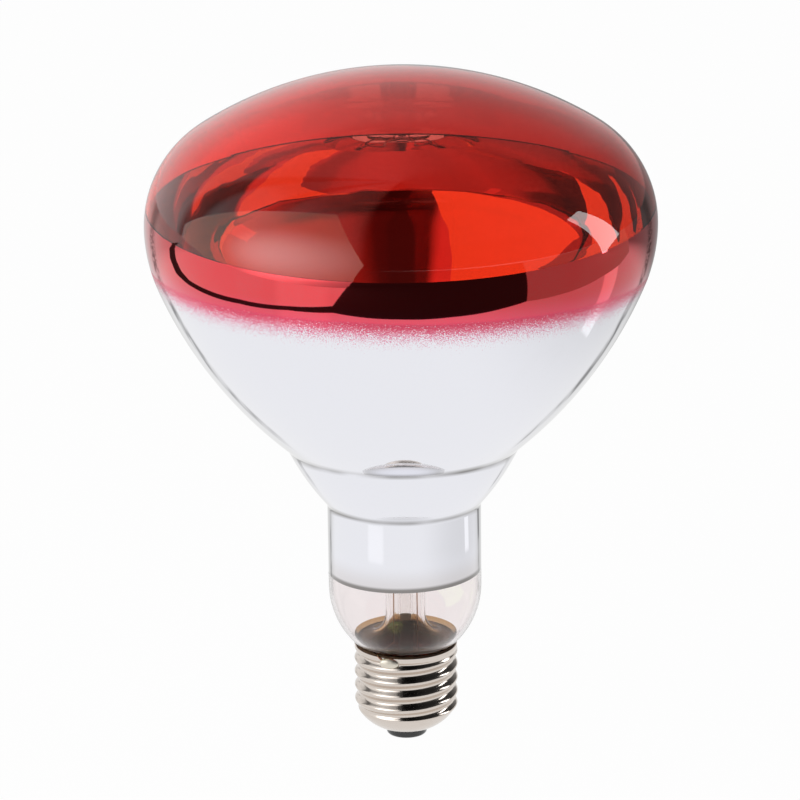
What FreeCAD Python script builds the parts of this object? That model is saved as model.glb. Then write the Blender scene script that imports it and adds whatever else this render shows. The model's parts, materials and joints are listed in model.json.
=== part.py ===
import FreeCAD, Part

import math
import os
from enum import IntEnum
from types import SimpleNamespace

import Sketcher

# Infrared heat lamp with a blown reflector bulb and a screw cap, standing on its
# centre contact. Z runs up the axis of the lamp, and the origin is the lowest point.
# The driving dimensions are in millimetres, and the angles in degrees.

# Glass bulb: heights from the cap up, then the radii of its outline
BASE_HEIGHT = 15.7
NECK_LENGTH = 22.0
BULGE_LENGTH = 15.3
REFLECTOR_DEPTH = 55.9
LENS_RISE = 37.4
BULB_RADIUS = 62.5
SHOULDER_RADIUS = 27.4
LENS_LOWER_RADIUS = 37.6
REFLECTOR_RADIUS = 109.1
WAIST_RADIUS = 29.2
WAIST_FILLET = 2.0
BULGE_RADIUS = 62.7
NECK_RADIUS = 19.25
NECK_FILLET = 2.0
GLASS_WALL = 0.9

# Screw cap: a thin rolled shell, 27 mm nominal thread
CAP_HEIGHT = 25.0
THREAD_CREST = 13.1
THREAD_DEPTH = 0.97
THREAD_PITCH = 3.629
THREAD_START = 13.03
THREAD_FADE = 2.2
SHELL_WALL = 0.3
COLLAR_HEIGHT = 0.9
COLLAR_SETBACK = 0.1
DOME_RADIUS = 8.3
DOME_HOLE = 5.1

# Seal of the glass in the cap
RIM_GAP = 0.75
SEAL_DEPTH = 0.4
CEMENT_WIDTH = 3.25
CEMENT_DEPTH = 6.0
CEMENT_RISE = 0.4
CEMENT_GAP = 0.04

# Glass stem
STEM_RADIUS = 5.0
STEM_WALL = 1.0
FLARE_RISE = 2.4
FLARE_HEIGHT = 8.0
TUBE_LENGTH = 13.0
PINCH_HEIGHT = 4.0
PRESS_HEIGHT = 8.0
PRESS_WIDTH = 12.0
PRESS_THICKNESS = 4.4
EXHAUST_RADIUS = 2.0
EXHAUST_WALL = 0.6
EXHAUST_RISE = 9.9
ARBOR_RADIUS = 1.6
BUTTON_RADIUS = 3.0

# Filament, its supports and the leads
FILAMENT_RISE = 3.0
FILAMENT_RING = 11.0
FILAMENT_COIL = 0.8
FILAMENT_GAP_ANGLE = 60.0
SUPPORT_RISE = 7.5
SUPPORT_WIRE = 0.25
LEAD_WIRE = 0.4
SEAL_WIRE = 0.3
OUTER_WIRE = 0.15
WIRE_GAP = 0.12
HOOK_CLEARANCE = 0.1
LEAD_HOOK_ANGLE = 4.0
LEAD_STAND = 6.0
LEAD_REACH = 10.0
BEND_RADIUS = 1.5
RIM_BEND_RADIUS = 0.5
BUTTON_ROOT = 1.0
SHELL_LEAD_ANGLE = -124.0
SOLDER_ANGLE = -109.0

# Insulator and centre contact
SOLDER_HEIGHT = 0.5
SOLDER_RADIUS = 2.2
SOLDER_FLAT = 1.1
SOLDER_ROUND = 1.3
CONTACT_RADIUS = 3.2
CONTACT_THICKNESS = 0.4
INSULATOR_LIP = 1.4
INSULATOR_CHAMFER = 0.7
INSULATOR_RISE = 2.8
INSULATOR_BORE = 1.2
INSULATOR_GAP = 0.05
SIDE_SOLDER_WIDTH = 3.4
SIDE_SOLDER_HEIGHT = 2.4
SIDE_SOLDER_DEPTH = 0.8
SIDE_SOLDER_DROP = 0.1

SUPPORT_COUNT = 4
DOME_STEPS = 8
STEPS_PER_TURN = 10

doc = FreeCAD.newDocument("HeatLamp")
sheet = doc.addObject("Spreadsheet::Sheet", "Sizes")


class Size:
    """A length that knows its value and the formula that gives it in the sheet."""

    def __init__(self, value, text):
        self.value = float(value)
        self.text = text

    def _joined(self, other, sign, value):
        text = other.text if isinstance(other, Size) else repr(other)
        return Size(value, f"({self.text} {sign} {text})")

    def __add__(self, other):
        return self._joined(other, "+", self.value + number(other))

    def __sub__(self, other):
        return self._joined(other, "-", self.value - number(other))

    def __mul__(self, other):
        return self._joined(other, "*", self.value * number(other))

    def __truediv__(self, other):
        return self._joined(other, "/", self.value / number(other))


def number(item):
    return item.value if isinstance(item, Size) else float(item)


def root(size):
    return Size(math.sqrt(size.value), f"sqrt({size.text})")


def squared(size):
    return size * size


def driving(**dimensions):
    """Writes the driving dimensions in the sheet and gives them back as sizes."""
    for row, (alias, value) in enumerate(dimensions.items(), start=1):
        sheet.set(f"A{row}", alias)
        sheet.set(f"B{row}", str(value))
        sheet.setAlias(f"B{row}", alias)
    sheet.recompute()
    return SimpleNamespace(**{alias: Size(sheet.get(alias), f"Sizes.{alias}") for alias in dimensions})


lamp = driving(
    base_height=BASE_HEIGHT, neck_length=NECK_LENGTH, bulge_length=BULGE_LENGTH,
    reflector_depth=REFLECTOR_DEPTH, lens_rise=LENS_RISE, bulb_radius=BULB_RADIUS,
    shoulder_radius=SHOULDER_RADIUS, lens_lower_radius=LENS_LOWER_RADIUS,
    reflector_radius=REFLECTOR_RADIUS, waist_radius=WAIST_RADIUS, waist_fillet=WAIST_FILLET,
    bulge_radius=BULGE_RADIUS, neck_radius=NECK_RADIUS, neck_fillet=NECK_FILLET, glass_wall=GLASS_WALL,
    cap_height=CAP_HEIGHT, thread_crest=THREAD_CREST, thread_depth=THREAD_DEPTH,
    thread_pitch=THREAD_PITCH, thread_start=THREAD_START, thread_fade=THREAD_FADE, shell_wall=SHELL_WALL,
    collar_height=COLLAR_HEIGHT, collar_setback=COLLAR_SETBACK, dome_radius=DOME_RADIUS,
    dome_hole=DOME_HOLE, rim_gap=RIM_GAP, seal_depth=SEAL_DEPTH, cement_width=CEMENT_WIDTH,
    cement_depth=CEMENT_DEPTH, cement_rise=CEMENT_RISE, cement_gap=CEMENT_GAP, stem_radius=STEM_RADIUS,
    stem_wall=STEM_WALL, flare_rise=FLARE_RISE, flare_height=FLARE_HEIGHT, tube_length=TUBE_LENGTH,
    pinch_height=PINCH_HEIGHT, press_height=PRESS_HEIGHT, press_width=PRESS_WIDTH,
    press_thickness=PRESS_THICKNESS, exhaust_radius=EXHAUST_RADIUS, exhaust_wall=EXHAUST_WALL,
    exhaust_rise=EXHAUST_RISE, arbor_radius=ARBOR_RADIUS, button_radius=BUTTON_RADIUS,
    filament_rise=FILAMENT_RISE, filament_ring=FILAMENT_RING, filament_coil=FILAMENT_COIL,
    filament_gap_angle=FILAMENT_GAP_ANGLE, support_rise=SUPPORT_RISE, support_wire=SUPPORT_WIRE,
    lead_wire=LEAD_WIRE, seal_wire=SEAL_WIRE, outer_wire=OUTER_WIRE, wire_gap=WIRE_GAP,
    hook_clearance=HOOK_CLEARANCE, lead_hook_angle=LEAD_HOOK_ANGLE, lead_stand=LEAD_STAND,
    lead_reach=LEAD_REACH, bend_radius=BEND_RADIUS, rim_bend_radius=RIM_BEND_RADIUS,
    button_root=BUTTON_ROOT, shell_lead_angle=SHELL_LEAD_ANGLE, solder_angle=SOLDER_ANGLE,
    solder_height=SOLDER_HEIGHT, solder_radius=SOLDER_RADIUS, solder_flat=SOLDER_FLAT,
    solder_round=SOLDER_ROUND, contact_radius=CONTACT_RADIUS, contact_thickness=CONTACT_THICKNESS,
    insulator_lip=INSULATOR_LIP, insulator_chamfer=INSULATOR_CHAMFER, insulator_rise=INSULATOR_RISE,
    insulator_bore=INSULATOR_BORE, insulator_gap=INSULATOR_GAP, side_solder_width=SIDE_SOLDER_WIDTH,
    side_solder_height=SIDE_SOLDER_HEIGHT, side_solder_depth=SIDE_SOLDER_DEPTH,
    side_solder_drop=SIDE_SOLDER_DROP,
)


# How a sketch numbers the ends and the centre of an edge, and its own two axes
Spot = IntEnum("Spot", "START END CENTRE")
Axis = IntEnum("Axis", {"ACROSS": -1, "UP": -2})
ORIGIN = (Axis.ACROSS, Spot.START)

sub_parts = []


def keep(piece, label):
    """Gives a sub-part its own name, which also names its file."""
    piece.Label = label
    sub_parts.append(piece)
    return piece


def point(across, up):
    return FreeCAD.Vector(number(across), number(up), 0)


def origin_plane(body, role):
    return [item for item in body.Origin.OriginFeatures if item.Role == role][0]


def sketch_on(body, role, name):
    sketch = body.newObject("Sketcher::SketchObject", name)
    sketch.AttachmentSupport = [(origin_plane(body, role), "")]
    sketch.MapMode = "FlatFace"
    return sketch


def constrain(sketch, kind, *arguments):
    return sketch.addConstraint(Sketcher.Constraint(kind, *arguments))


def bind(sketch, kind, arguments, size):
    """Adds one dimension to a sketch and ties it to the sheet."""
    place = constrain(sketch, kind, *arguments, number(size))
    if isinstance(size, Size):
        sketch.setExpression(f"Constraints[{place}]", size.text)


def arc_between(start, end, radius, centre_side):
    """An arc of the given radius; centre_side is 1 where its centre lies left of the way."""
    middle = (start + end) * 0.5
    half = (end - start) * 0.5
    reach = math.sqrt(max(radius ** 2 - half.Length ** 2, 0.0))
    left = FreeCAD.Vector(-half.y, half.x, 0).normalize()
    centre = middle + left * reach * centre_side
    first = math.atan2(start.y - centre.y, start.x - centre.x)
    last = math.atan2(end.y - centre.y, end.x - centre.x)
    circle = Part.Circle(centre, FreeCAD.Vector(0, 0, 1), radius)
    if centre_side > 0:
        return Part.ArcOfCircle(circle, first, last)
    return Part.ArcOfCircle(circle, last, first)


def draw_section(sketch, corners, arcs):
    """Draws a closed section. Each corner is (radius, height), and arcs maps the number of
    the side that starts at a corner to (arc radius, side of its centre)."""
    points = [point(across, up) for across, up in corners]
    forwards = (Spot.START, Spot.END)
    backwards = (Spot.END, Spot.START)
    ends = []
    for side, start in enumerate(points):
        end = points[(side + 1) % len(points)]
        if side in arcs:
            radius, centre_side = arcs[side]
            edge = sketch.addGeometry(arc_between(start, end, number(radius), centre_side))
            ends.append((edge, *(forwards if centre_side > 0 else backwards)))
        else:
            edge = sketch.addGeometry(Part.LineSegment(start, end))
            ends.append((edge, *forwards))
    for side, (edge, _, last) in enumerate(ends):
        following = ends[(side + 1) % len(ends)]
        constrain(sketch, "Coincident", edge, last, following[0], following[1])
    for (edge, first, _), (across, up) in zip(ends, corners):
        if number(across) == 0.0:
            constrain(sketch, "PointOnObject", edge, first, Axis.UP)
        else:
            bind(sketch, "DistanceX", (*ORIGIN, edge, first), across)
        if number(up) == 0.0:
            constrain(sketch, "PointOnObject", edge, first, Axis.ACROSS)
        else:
            bind(sketch, "DistanceY", (*ORIGIN, edge, first), up)
    for side, (radius, _) in arcs.items():
        bind(sketch, "Radius", (ends[side][0],), radius)


def revolve(body, sketch, name):
    turned = body.newObject("PartDesign::Revolution", name)
    turned.Profile = sketch
    turned.ReferenceAxis = (sketch, ["V_Axis"])
    turned.Angle = 360
    return turned


def section_body(name, corners, arcs=None):
    """A body of revolution from its section, drawn in the XZ plane."""
    body = doc.addObject("PartDesign::Body", name)
    sketch = sketch_on(body, "XZ_Plane", f"{name}Section")
    draw_section(sketch, corners, arcs or {})
    revolve(body, sketch, f"{name}Turned")
    return body


def turned_part(label, corners, arcs=None):
    """A sub-part that is one body of revolution."""
    return keep(section_body(label.title().replace("_", ""), corners, arcs), label)


# Heights of the glass, from the cap up
neck_bottom = lamp.cap_height + lamp.base_height
neck_top = neck_bottom + lamp.neck_length
waist_height = neck_top + lamp.bulge_length
equator_height = waist_height + lamp.reflector_depth
bulb_height = equator_height + lamp.lens_rise

# Rounded base of the glass, which draws in to pass the rim of the cap
glass_at_rim = lamp.thread_crest - lamp.shell_wall - lamp.rim_gap
base_step = lamp.neck_radius - glass_at_rim
base_curve = (squared(base_step) + squared(lamp.base_height)) / (base_step * 2)
base_centre = lamp.neck_radius - base_curve
seal_height = lamp.cap_height - lamp.seal_depth


def glass_outside(height):
    """Outer radius of the rounded base of the bulb at a height below the neck."""
    return base_centre + root(squared(base_curve) - squared(neck_bottom - height))


def glass_inside(height):
    """Inner radius of the rounded base of the bulb at a height below the neck."""
    return base_centre + root(squared(base_curve - lamp.glass_wall) - squared(neck_bottom - height))


def circle_meeting(centre_a, radius_a, centre_b, radius_b, side):
    """The point where two circles meet, on the left (1) or the right (-1) of a to b."""
    way = centre_b - centre_a
    along = (radius_a ** 2 - radius_b ** 2 + way.Length ** 2) / (2 * way.Length)
    across = math.sqrt(max(radius_a ** 2 - along ** 2, 0.0))
    way.normalize()
    left = FreeCAD.Vector(-way.y, way.x, 0)
    return centre_a + way * along + left * across * side


# Centres of the arcs of the bulb. The crown arc runs into the shoulder arc, which meets the
# lens edge at the equator, and the reflector and bulge arcs pass through the waist point.
crown_radius = (
    (squared(lamp.lens_rise) + squared(lamp.bulb_radius) - lamp.shoulder_radius * lamp.bulb_radius * 2)
    / ((lamp.lens_rise - lamp.shoulder_radius) * 2)
)
crown_centre = point(0, bulb_height - crown_radius)
shoulder_centre = point(lamp.bulb_radius - lamp.shoulder_radius, equator_height)
lens_centre = point(lamp.bulb_radius - lamp.lens_lower_radius, equator_height)
waist_point = point(lamp.waist_radius, waist_height)
neck_top_point = point(lamp.neck_radius, neck_top)
reflector_reach = number(lamp.reflector_radius)
bulge_reach = number(lamp.bulge_radius)
waist_round = number(lamp.waist_fillet)
neck_round = number(lamp.neck_fillet)
reflector_centre = circle_meeting(
    lens_centre, reflector_reach - number(lamp.lens_lower_radius), waist_point, reflector_reach, -1
)
bulge_centre = circle_meeting(waist_point, bulge_reach, neck_top_point, bulge_reach, -1)
waist_centre = circle_meeting(
    reflector_centre, reflector_reach + waist_round, bulge_centre, bulge_reach + waist_round, 1
)
bend_across = number(lamp.neck_radius) + neck_round
bend_drop = math.sqrt((bulge_reach + neck_round) ** 2 - (bend_across - bulge_centre.x) ** 2)
bend_centre = point(bend_across, bulge_centre.y - bend_drop)
base_centre_point = point(base_centre, neck_bottom)

# Glass bulb, blown in one piece: an even wall whose inner arcs share the outer centres
bulb = doc.addObject("PartDesign::Body", "GlassBulb")
outline = sketch_on(bulb, "XZ_Plane", "BulbOutline")


def add_arc(centre, start, end, clockwise):
    """Adds an arc about a centre and returns its number with its first and last end."""
    circle = Part.Circle(centre, FreeCAD.Vector(0, 0, 1), (start - centre).Length)
    first = math.atan2(start.y - centre.y, start.x - centre.x)
    last = math.atan2(end.y - centre.y, end.x - centre.x)
    if clockwise:
        return outline.addGeometry(Part.ArcOfCircle(circle, last, first)), Spot.END, Spot.START
    return outline.addGeometry(Part.ArcOfCircle(circle, first, last)), Spot.START, Spot.END


def towards(centre, target, distance):
    return centre + (target - centre).normalize() * distance


def draw_side(inset, seal_across):
    """Draws one side of the wall, from the crown down to the seal, as a chain of edges."""
    top = point(0, number(bulb_height) - inset)
    crown_end = towards(crown_centre, shoulder_centre, number(crown_radius) - inset)
    equator_point = point(number(lamp.bulb_radius) - inset, equator_height)
    lens_end = towards(reflector_centre, lens_centre, reflector_reach - inset)
    waist_upper = towards(reflector_centre, waist_centre, reflector_reach - inset)
    waist_lower = towards(bulge_centre, waist_centre, bulge_reach - inset)
    bend_upper = towards(bulge_centre, bend_centre, bulge_reach - inset)
    bend_lower = point(number(lamp.neck_radius) - inset, bend_centre.y)
    base_upper = point(number(lamp.neck_radius) - inset, neck_bottom)
    seal_point = point(seal_across, seal_height)
    neck_line = outline.addGeometry(Part.LineSegment(bend_lower, base_upper))
    chain = [
        add_arc(crown_centre, top, crown_end, True),
        add_arc(shoulder_centre, crown_end, equator_point, True),
        add_arc(lens_centre, equator_point, lens_end, True),
        add_arc(reflector_centre, lens_end, waist_upper, True),
        add_arc(waist_centre, waist_upper, waist_lower, False),
        add_arc(bulge_centre, waist_lower, bend_upper, True),
        add_arc(bend_centre, bend_upper, bend_lower, False),
        (neck_line, Spot.START, Spot.END),
        add_arc(base_centre_point, base_upper, seal_point, True),
    ]
    for upper, lower in zip(chain, chain[1:]):
        constrain(outline, "Tangent", upper[0], upper[2], lower[0], lower[1])
    return chain


outer_side = draw_side(0.0, glass_outside(seal_height))
inner_side = draw_side(number(lamp.glass_wall), glass_inside(seal_height))
crown, shoulder, lens_edge, reflector, waist, bulge, neck_bend, neck, base = outer_side
inner_crown = inner_side[0]
inner_base = inner_side[-1]
for outer_edge, inner_edge in zip(outer_side, inner_side):
    if outer_edge is neck:
        constrain(outline, "Vertical", inner_edge[0])
    else:
        constrain(outline, "Coincident", inner_edge[0], Spot.CENTRE, outer_edge[0], Spot.CENTRE)

seal_outer = point(glass_outside(seal_height), seal_height)
seal_inner = point(glass_inside(seal_height), seal_height)
seal_line = outline.addGeometry(Part.LineSegment(seal_outer, seal_inner))
axis_line = outline.addGeometry(
    Part.LineSegment(point(0, bulb_height - lamp.glass_wall), point(0, bulb_height))
)
constrain(outline, "Coincident", base[0], base[2], seal_line, Spot.START)
constrain(outline, "Coincident", inner_base[0], inner_base[2], seal_line, Spot.END)
constrain(outline, "Coincident", inner_crown[0], inner_crown[1], axis_line, Spot.START)
constrain(outline, "Coincident", crown[0], crown[1], axis_line, Spot.END)
constrain(outline, "Horizontal", seal_line)
constrain(outline, "PointOnObject", crown[0], Spot.CENTRE, Axis.UP)
constrain(outline, "PointOnObject", axis_line, Spot.START, Axis.UP)
constrain(outline, "PointOnObject", axis_line, Spot.END, Axis.UP)

waist_mark = outline.addGeometry(Part.Point(waist_point), True)
neck_mark = outline.addGeometry(Part.Point(neck_top_point), True)
for mark, edge in [(waist_mark, reflector), (waist_mark, bulge), (neck_mark, bulge)]:
    constrain(outline, "PointOnObject", mark, Spot.START, edge[0])
for edge, radius in [
    (crown, crown_radius), (inner_crown, crown_radius - lamp.glass_wall),
    (lens_edge, lamp.lens_lower_radius), (reflector, lamp.reflector_radius), (waist, lamp.waist_fillet),
    (bulge, lamp.bulge_radius), (neck_bend, lamp.neck_fillet), (base, base_curve),
]:
    bind(outline, "Radius", (edge[0],), radius)
for edge, spot, across in [
    (shoulder[0], shoulder[2], lamp.bulb_radius), (waist_mark, Spot.START, lamp.waist_radius),
    (neck_mark, Spot.START, lamp.neck_radius), (neck[0], neck[2], lamp.neck_radius),
]:
    bind(outline, "DistanceX", (*ORIGIN, edge, spot), across)
for edge, spot, up in [
    (crown[0], crown[1], bulb_height), (shoulder[0], shoulder[2], equator_height),
    (shoulder[0], Spot.CENTRE, equator_height), (waist_mark, Spot.START, waist_height),
    (neck_mark, Spot.START, neck_top), (neck[0], neck[2], neck_bottom), (seal_line, Spot.START, seal_height),
]:
    bind(outline, "DistanceY", (*ORIGIN, edge, spot), up)
revolve(bulb, outline, "BulbBlown")
keep(bulb, "glass_bulb")

# Insulator and contact heights, from the solder up
contact_low = lamp.solder_height
contact_top = contact_low + lamp.contact_thickness
insulator_bottom = contact_top
shell_bottom = insulator_bottom + lamp.insulator_lip
insulator_top = shell_bottom + lamp.insulator_rise
dome_height = shell_bottom + lamp.dome_radius

# Glass stem: a flared tube, pinched flat at its top round the two sealing wires
flare_seat = lamp.cap_height + lamp.flare_rise
flare_top = lamp.cap_height + lamp.flare_height
tube_top = flare_top + lamp.tube_length
pinch_top = tube_top + lamp.pinch_height
press_top = pinch_top + lamp.press_height
stem_inner = lamp.stem_radius - lamp.stem_wall
wire_spacing = (stem_inner + lamp.exhaust_radius) / 2
flare_width = glass_inside(flare_seat) - lamp.stem_radius
trumpet = (squared(flare_width) + squared(flare_top - flare_seat)) / (flare_width * 2)
flare_floor = flare_top - trumpet - lamp.stem_wall
stem_tube = section_body(
    "StemTube",
    [
        (stem_inner, tube_top),
        (stem_inner, flare_top),
        (lamp.stem_radius + trumpet, flare_floor),
        (glass_inside(flare_floor), flare_floor),
        (glass_inside(flare_seat), flare_seat),
        (lamp.stem_radius, flare_top),
        (lamp.stem_radius, tube_top),
    ],
    {1: (trumpet + lamp.stem_wall, 1), 3: (base_curve - lamp.glass_wall, 1), 4: (trumpet, -1)},
)


def cylinder(name, radius, height, low, across=None):
    """An upright cylinder that stands on a height, moved along X."""
    rod = doc.addObject("Part::Cylinder", name)
    rod.setExpression("Radius", radius.text)
    rod.setExpression("Height", height.text)
    rod.setExpression("Placement.Base.z", low.text)
    if across:
        rod.setExpression("Placement.Base.x", across.text)
    return rod


tube_end = doc.addObject("Part::Circle", "StemTubeEnd")
tube_end.setExpression("Radius", lamp.stem_radius.text)
tube_end.setExpression("Placement.Base.z", tube_top.text)
press_outline = doc.addObject("Part::Ellipse", "PressOutline")
press_outline.setExpression("MajorRadius", (lamp.press_width / 2).text)
press_outline.setExpression("MinorRadius", (lamp.press_thickness / 2).text)
press_outline.setExpression("Placement.Base.z", pinch_top.text)
pinch = doc.addObject("Part::Loft", "StemPinch")
pinch.Sections = [tube_end, press_outline]
pinch.Solid = True
press = doc.addObject("Part::Extrusion", "StemPress")
press.Base = press_outline
press.DirMode = "Normal"
press.Solid = True
press.setExpression("LengthFwd", lamp.press_height.text)
stem_glass = doc.addObject("Part::MultiFuse", "StemGlass")
stem_glass.Shapes = [stem_tube, pinch, press]
seal_length = lamp.pinch_height + lamp.press_height
left_side = wire_spacing * -1
channels = doc.addObject("Part::MultiFuse", "SealChannels")
channels.Shapes = [
    cylinder("ChannelLeft", lamp.seal_wire, seal_length, tube_top, left_side),
    cylinder("ChannelRight", lamp.seal_wire, seal_length, tube_top, wire_spacing),
]
stem = doc.addObject("Part::Cut", "StemFlare")
stem.Base = stem_glass
stem.Tool = channels
keep(stem, "stem_flare")
keep(cylinder("SealWireLeft", lamp.seal_wire, seal_length, tube_top, left_side), "seal_wire_left")
keep(cylinder("SealWireRight", lamp.seal_wire, seal_length, tube_top, wire_spacing), "seal_wire_right")

# Exhaust tube, drawn off and closed at its lower end
exhaust_tip = insulator_top + lamp.exhaust_rise
exhaust_bore = lamp.exhaust_radius - lamp.exhaust_wall
exhaust_round = exhaust_tip + lamp.exhaust_radius
turned_part(
    "exhaust_tube",
    [
        (0, exhaust_tip),
        (lamp.exhaust_radius, exhaust_round),
        (lamp.exhaust_radius, tube_top),
        (exhaust_bore, tube_top),
        (exhaust_bore, exhaust_round),
        (0, exhaust_tip + lamp.exhaust_wall),
    ],
    {0: (lamp.exhaust_radius, 1), 4: (exhaust_bore, -1)},
)

# Arbor: a glass rod on the press, with a button that holds the support wires
filament_height = waist_height + lamp.filament_rise
button_centre = filament_height - lamp.support_rise
button_low = button_centre - root(squared(lamp.button_radius) - squared(lamp.arbor_radius))
arbor_body = section_body(
    "ArborBody",
    [
        (0, press_top),
        (lamp.arbor_radius, press_top),
        (lamp.arbor_radius, button_low),
        (lamp.button_radius, button_centre),
        (0, button_centre + lamp.button_radius),
    ],
    {2: (lamp.button_radius, 1), 3: (lamp.button_radius, 1)},
)

# Filament: a ring of coiled wire, open at the front between the two leads
filament_sweep = lamp.filament_gap_angle * -1 + 360
filament_start = lamp.filament_gap_angle / 2 - 90
filament = doc.addObject("Part::Torus", "Filament")
filament.setExpression("Radius1", lamp.filament_ring.text)
filament.setExpression("Radius2", lamp.filament_coil.text)
filament.setExpression("Angle3", filament_sweep.text)
filament.Placement.Rotation = FreeCAD.Rotation(FreeCAD.Vector(0, 0, 1), number(filament_start))
filament.setExpression("Placement.Base.z", filament_height.text)
keep(filament, "filament")


def at(radius, angle, height):
    """A place in the lamp from its distance to the axis, its angle in degrees and height."""
    turn = math.radians(number(angle))
    across = number(radius)
    return FreeCAD.Vector(across * math.cos(turn), across * math.sin(turn), number(height))


def bent_wire(places, radius, bend, trim_share=0.45):
    """A round wire through the places, bent at each of them with one bend radius. A bend
    takes at most trim_share of the straight stretches beside it."""
    edges = []
    last = places[0]
    for before, corner, after in zip(places, places[1:], places[2:]):
        back = (before - corner).normalize()
        ahead = (after - corner).normalize()
        turn = math.pi - back.getAngle(ahead)
        room = trim_share * min((before - corner).Length, (after - corner).Length)
        trim = min(number(bend) * math.tan(turn / 2), room)
        arc_radius = trim / math.tan(turn / 2)
        inward = (back + ahead).normalize()
        centre = corner + inward * (arc_radius / math.cos(turn / 2))
        first = corner + back * trim
        final = corner + ahead * trim
        edges.append(Part.LineSegment(last, first).toShape())
        edges.append(Part.Arc(first, centre - inward * arc_radius, final).toShape())
        last = final
    edges.append(Part.LineSegment(last, places[-1]).toShape())
    section = Part.Wire(Part.makeCircle(number(radius), places[0], places[1] - places[0]))
    return Part.Wire(edges).makePipeShell([section], True, False, 2)


def hook(angle, wire):
    """The end of a wire, bent round the filament at an angle of its ring."""
    turn = math.radians(angle)
    along = FreeCAD.Vector(-math.sin(turn), math.cos(turn), 0)
    middle = at(lamp.filament_ring, angle, filament_height)
    return Part.makeTorus(number(hook_reach + wire), number(wire), middle, along)


def shape_part(label, shape):
    """A sub-part whose shape is worked out here."""
    piece = doc.addObject("Part::Feature", label.title().replace("_", ""))
    piece.Shape = shape
    piece.Placement = FreeCAD.Placement()
    return keep(piece, label)


# Support wires: out of the button, up and round the filament
hook_reach = lamp.filament_coil + lamp.hook_clearance
root_radius = lamp.button_radius - lamp.button_root
sockets = []
for turn_count in range(1, SUPPORT_COUNT + 1):
    angle = number(filament_start) + number(filament_sweep) * turn_count / (SUPPORT_COUNT + 1)
    places = [
        at(root_radius, angle, button_centre),
        at(lamp.filament_ring, angle, button_centre),
        at(lamp.filament_ring, angle, filament_height - hook_reach - lamp.support_wire),
    ]
    support = bent_wire(places, lamp.support_wire, lamp.bend_radius)
    shape_part(f"filament_support_{turn_count}", support.fuse(hook(angle, lamp.support_wire)))
    socket = doc.addObject("Part::Cylinder", f"ButtonSocket{turn_count}")
    socket.setExpression("Radius", lamp.support_wire.text)
    socket.setExpression("Height", (lamp.button_root * 2).text)
    radial = FreeCAD.Rotation(FreeCAD.Vector(0, 0, 1), at(1, angle, 0))
    socket.Placement = FreeCAD.Placement(places[0], radial)
    sockets.append(socket)
button_sockets = doc.addObject("Part::MultiFuse", "ButtonSockets")
button_sockets.Shapes = sockets
arbor = doc.addObject("Part::Cut", "FilamentArbor")
arbor.Base = arbor_body
arbor.Tool = button_sockets
keep(arbor, "filament_arbor")

# Inner leads: nickel wires from the press to the two ends of the filament
hook_angle = number(filament_start) + number(lamp.lead_hook_angle)
for label, side, angle in [
    ("inner_lead_left", left_side, -180 - hook_angle),
    ("inner_lead_right", wire_spacing, hook_angle),
]:
    places = [
        FreeCAD.Vector(number(side), 0, number(press_top)),
        FreeCAD.Vector(number(side), 0, number(press_top + lamp.lead_stand)),
        at(lamp.filament_ring, angle, filament_height - lamp.lead_reach),
        at(lamp.filament_ring, angle, filament_height - hook_reach - lamp.lead_wire),
    ]
    lead = bent_wire(places, lamp.lead_wire, lamp.bend_radius)
    shape_part(label, lead.fuse(hook(angle, lamp.lead_wire)))

# Screw shell: rolled sheet. At each height the thread is a circle whose centre lies off the
# axis and turns once in each pitch, so the wave fades in and out with that offset.
thread_wave = lamp.thread_depth / 2
thread_mean = lamp.thread_crest - thread_wave
collar_radius = lamp.thread_crest - lamp.collar_setback
collar_low = lamp.cap_height - lamp.collar_height
dome_centre = thread_mean - lamp.dome_radius


def eased(share):
    share = min(max(share, 0.0), 1.0)
    return share * share * (3 - 2 * share)


def shell_circle(height, inset):
    """The outline of the shell at one height, moved in by inset."""
    fade = number(lamp.thread_fade)
    wave_in = eased((height - number(dome_height)) / fade + 0.5)
    rise = eased((height - number(collar_low)) / fade + 1.0)
    radius = number(thread_mean) + number(collar_radius - thread_mean) * rise - inset
    if height < number(dome_height):
        curve = number(lamp.dome_radius) - inset
        radius = number(dome_centre) + math.sqrt(curve ** 2 - (number(dome_height) - height) ** 2)
    offset = number(thread_wave) * wave_in * (1 - rise)
    turn = 360.0 * (height - number(lamp.thread_start)) / number(lamp.thread_pitch)
    return Part.Wire(Part.makeCircle(radius, at(offset, turn, height), FreeCAD.Vector(0, 0, 1)))


def shell_solid(inset):
    """The filled outline of the shell, moved in by inset."""
    curve = number(lamp.dome_radius) - inset
    low_angle = math.acos(max(number(lamp.dome_hole - dome_centre) / curve, 0.0))
    heights = [
        number(dome_height) - curve * math.sin(low_angle * (1 - step / DOME_STEPS))
        for step in range(DOME_STEPS)
    ]
    thread_span = number(collar_low - dome_height)
    steps = math.ceil(STEPS_PER_TURN * thread_span / number(lamp.thread_pitch))
    heights += [number(dome_height) + thread_span * step / steps for step in range(steps)]
    heights += [number(collar_low), number(collar_low + lamp.collar_height / 2), number(lamp.cap_height)]
    return Part.makeLoft([shell_circle(height, inset) for height in heights], True, False)


shell_outside = shell_solid(0.0)
shell_inside = shell_solid(number(lamp.shell_wall))
bottom_hole = Part.makeCylinder(number(lamp.dome_hole), number(insulator_top))
shape_part("cap_shell", shell_outside.cut(shell_inside).cut(bottom_hole))

# Outer leads: one down to the centre contact, one out over the rim of the shell
contact_places = [
    FreeCAD.Vector(number(wire_spacing), 0, number(tube_top)),
    FreeCAD.Vector(number(wire_spacing), 0, number(exhaust_tip)),
    FreeCAD.Vector(0, 0, number(insulator_top + wire_spacing)),
    FreeCAD.Vector(0, 0, number(contact_low)),
]
shape_part("outer_lead_contact", bent_wire(contact_places, lamp.outer_wire, lamp.bend_radius))

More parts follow.
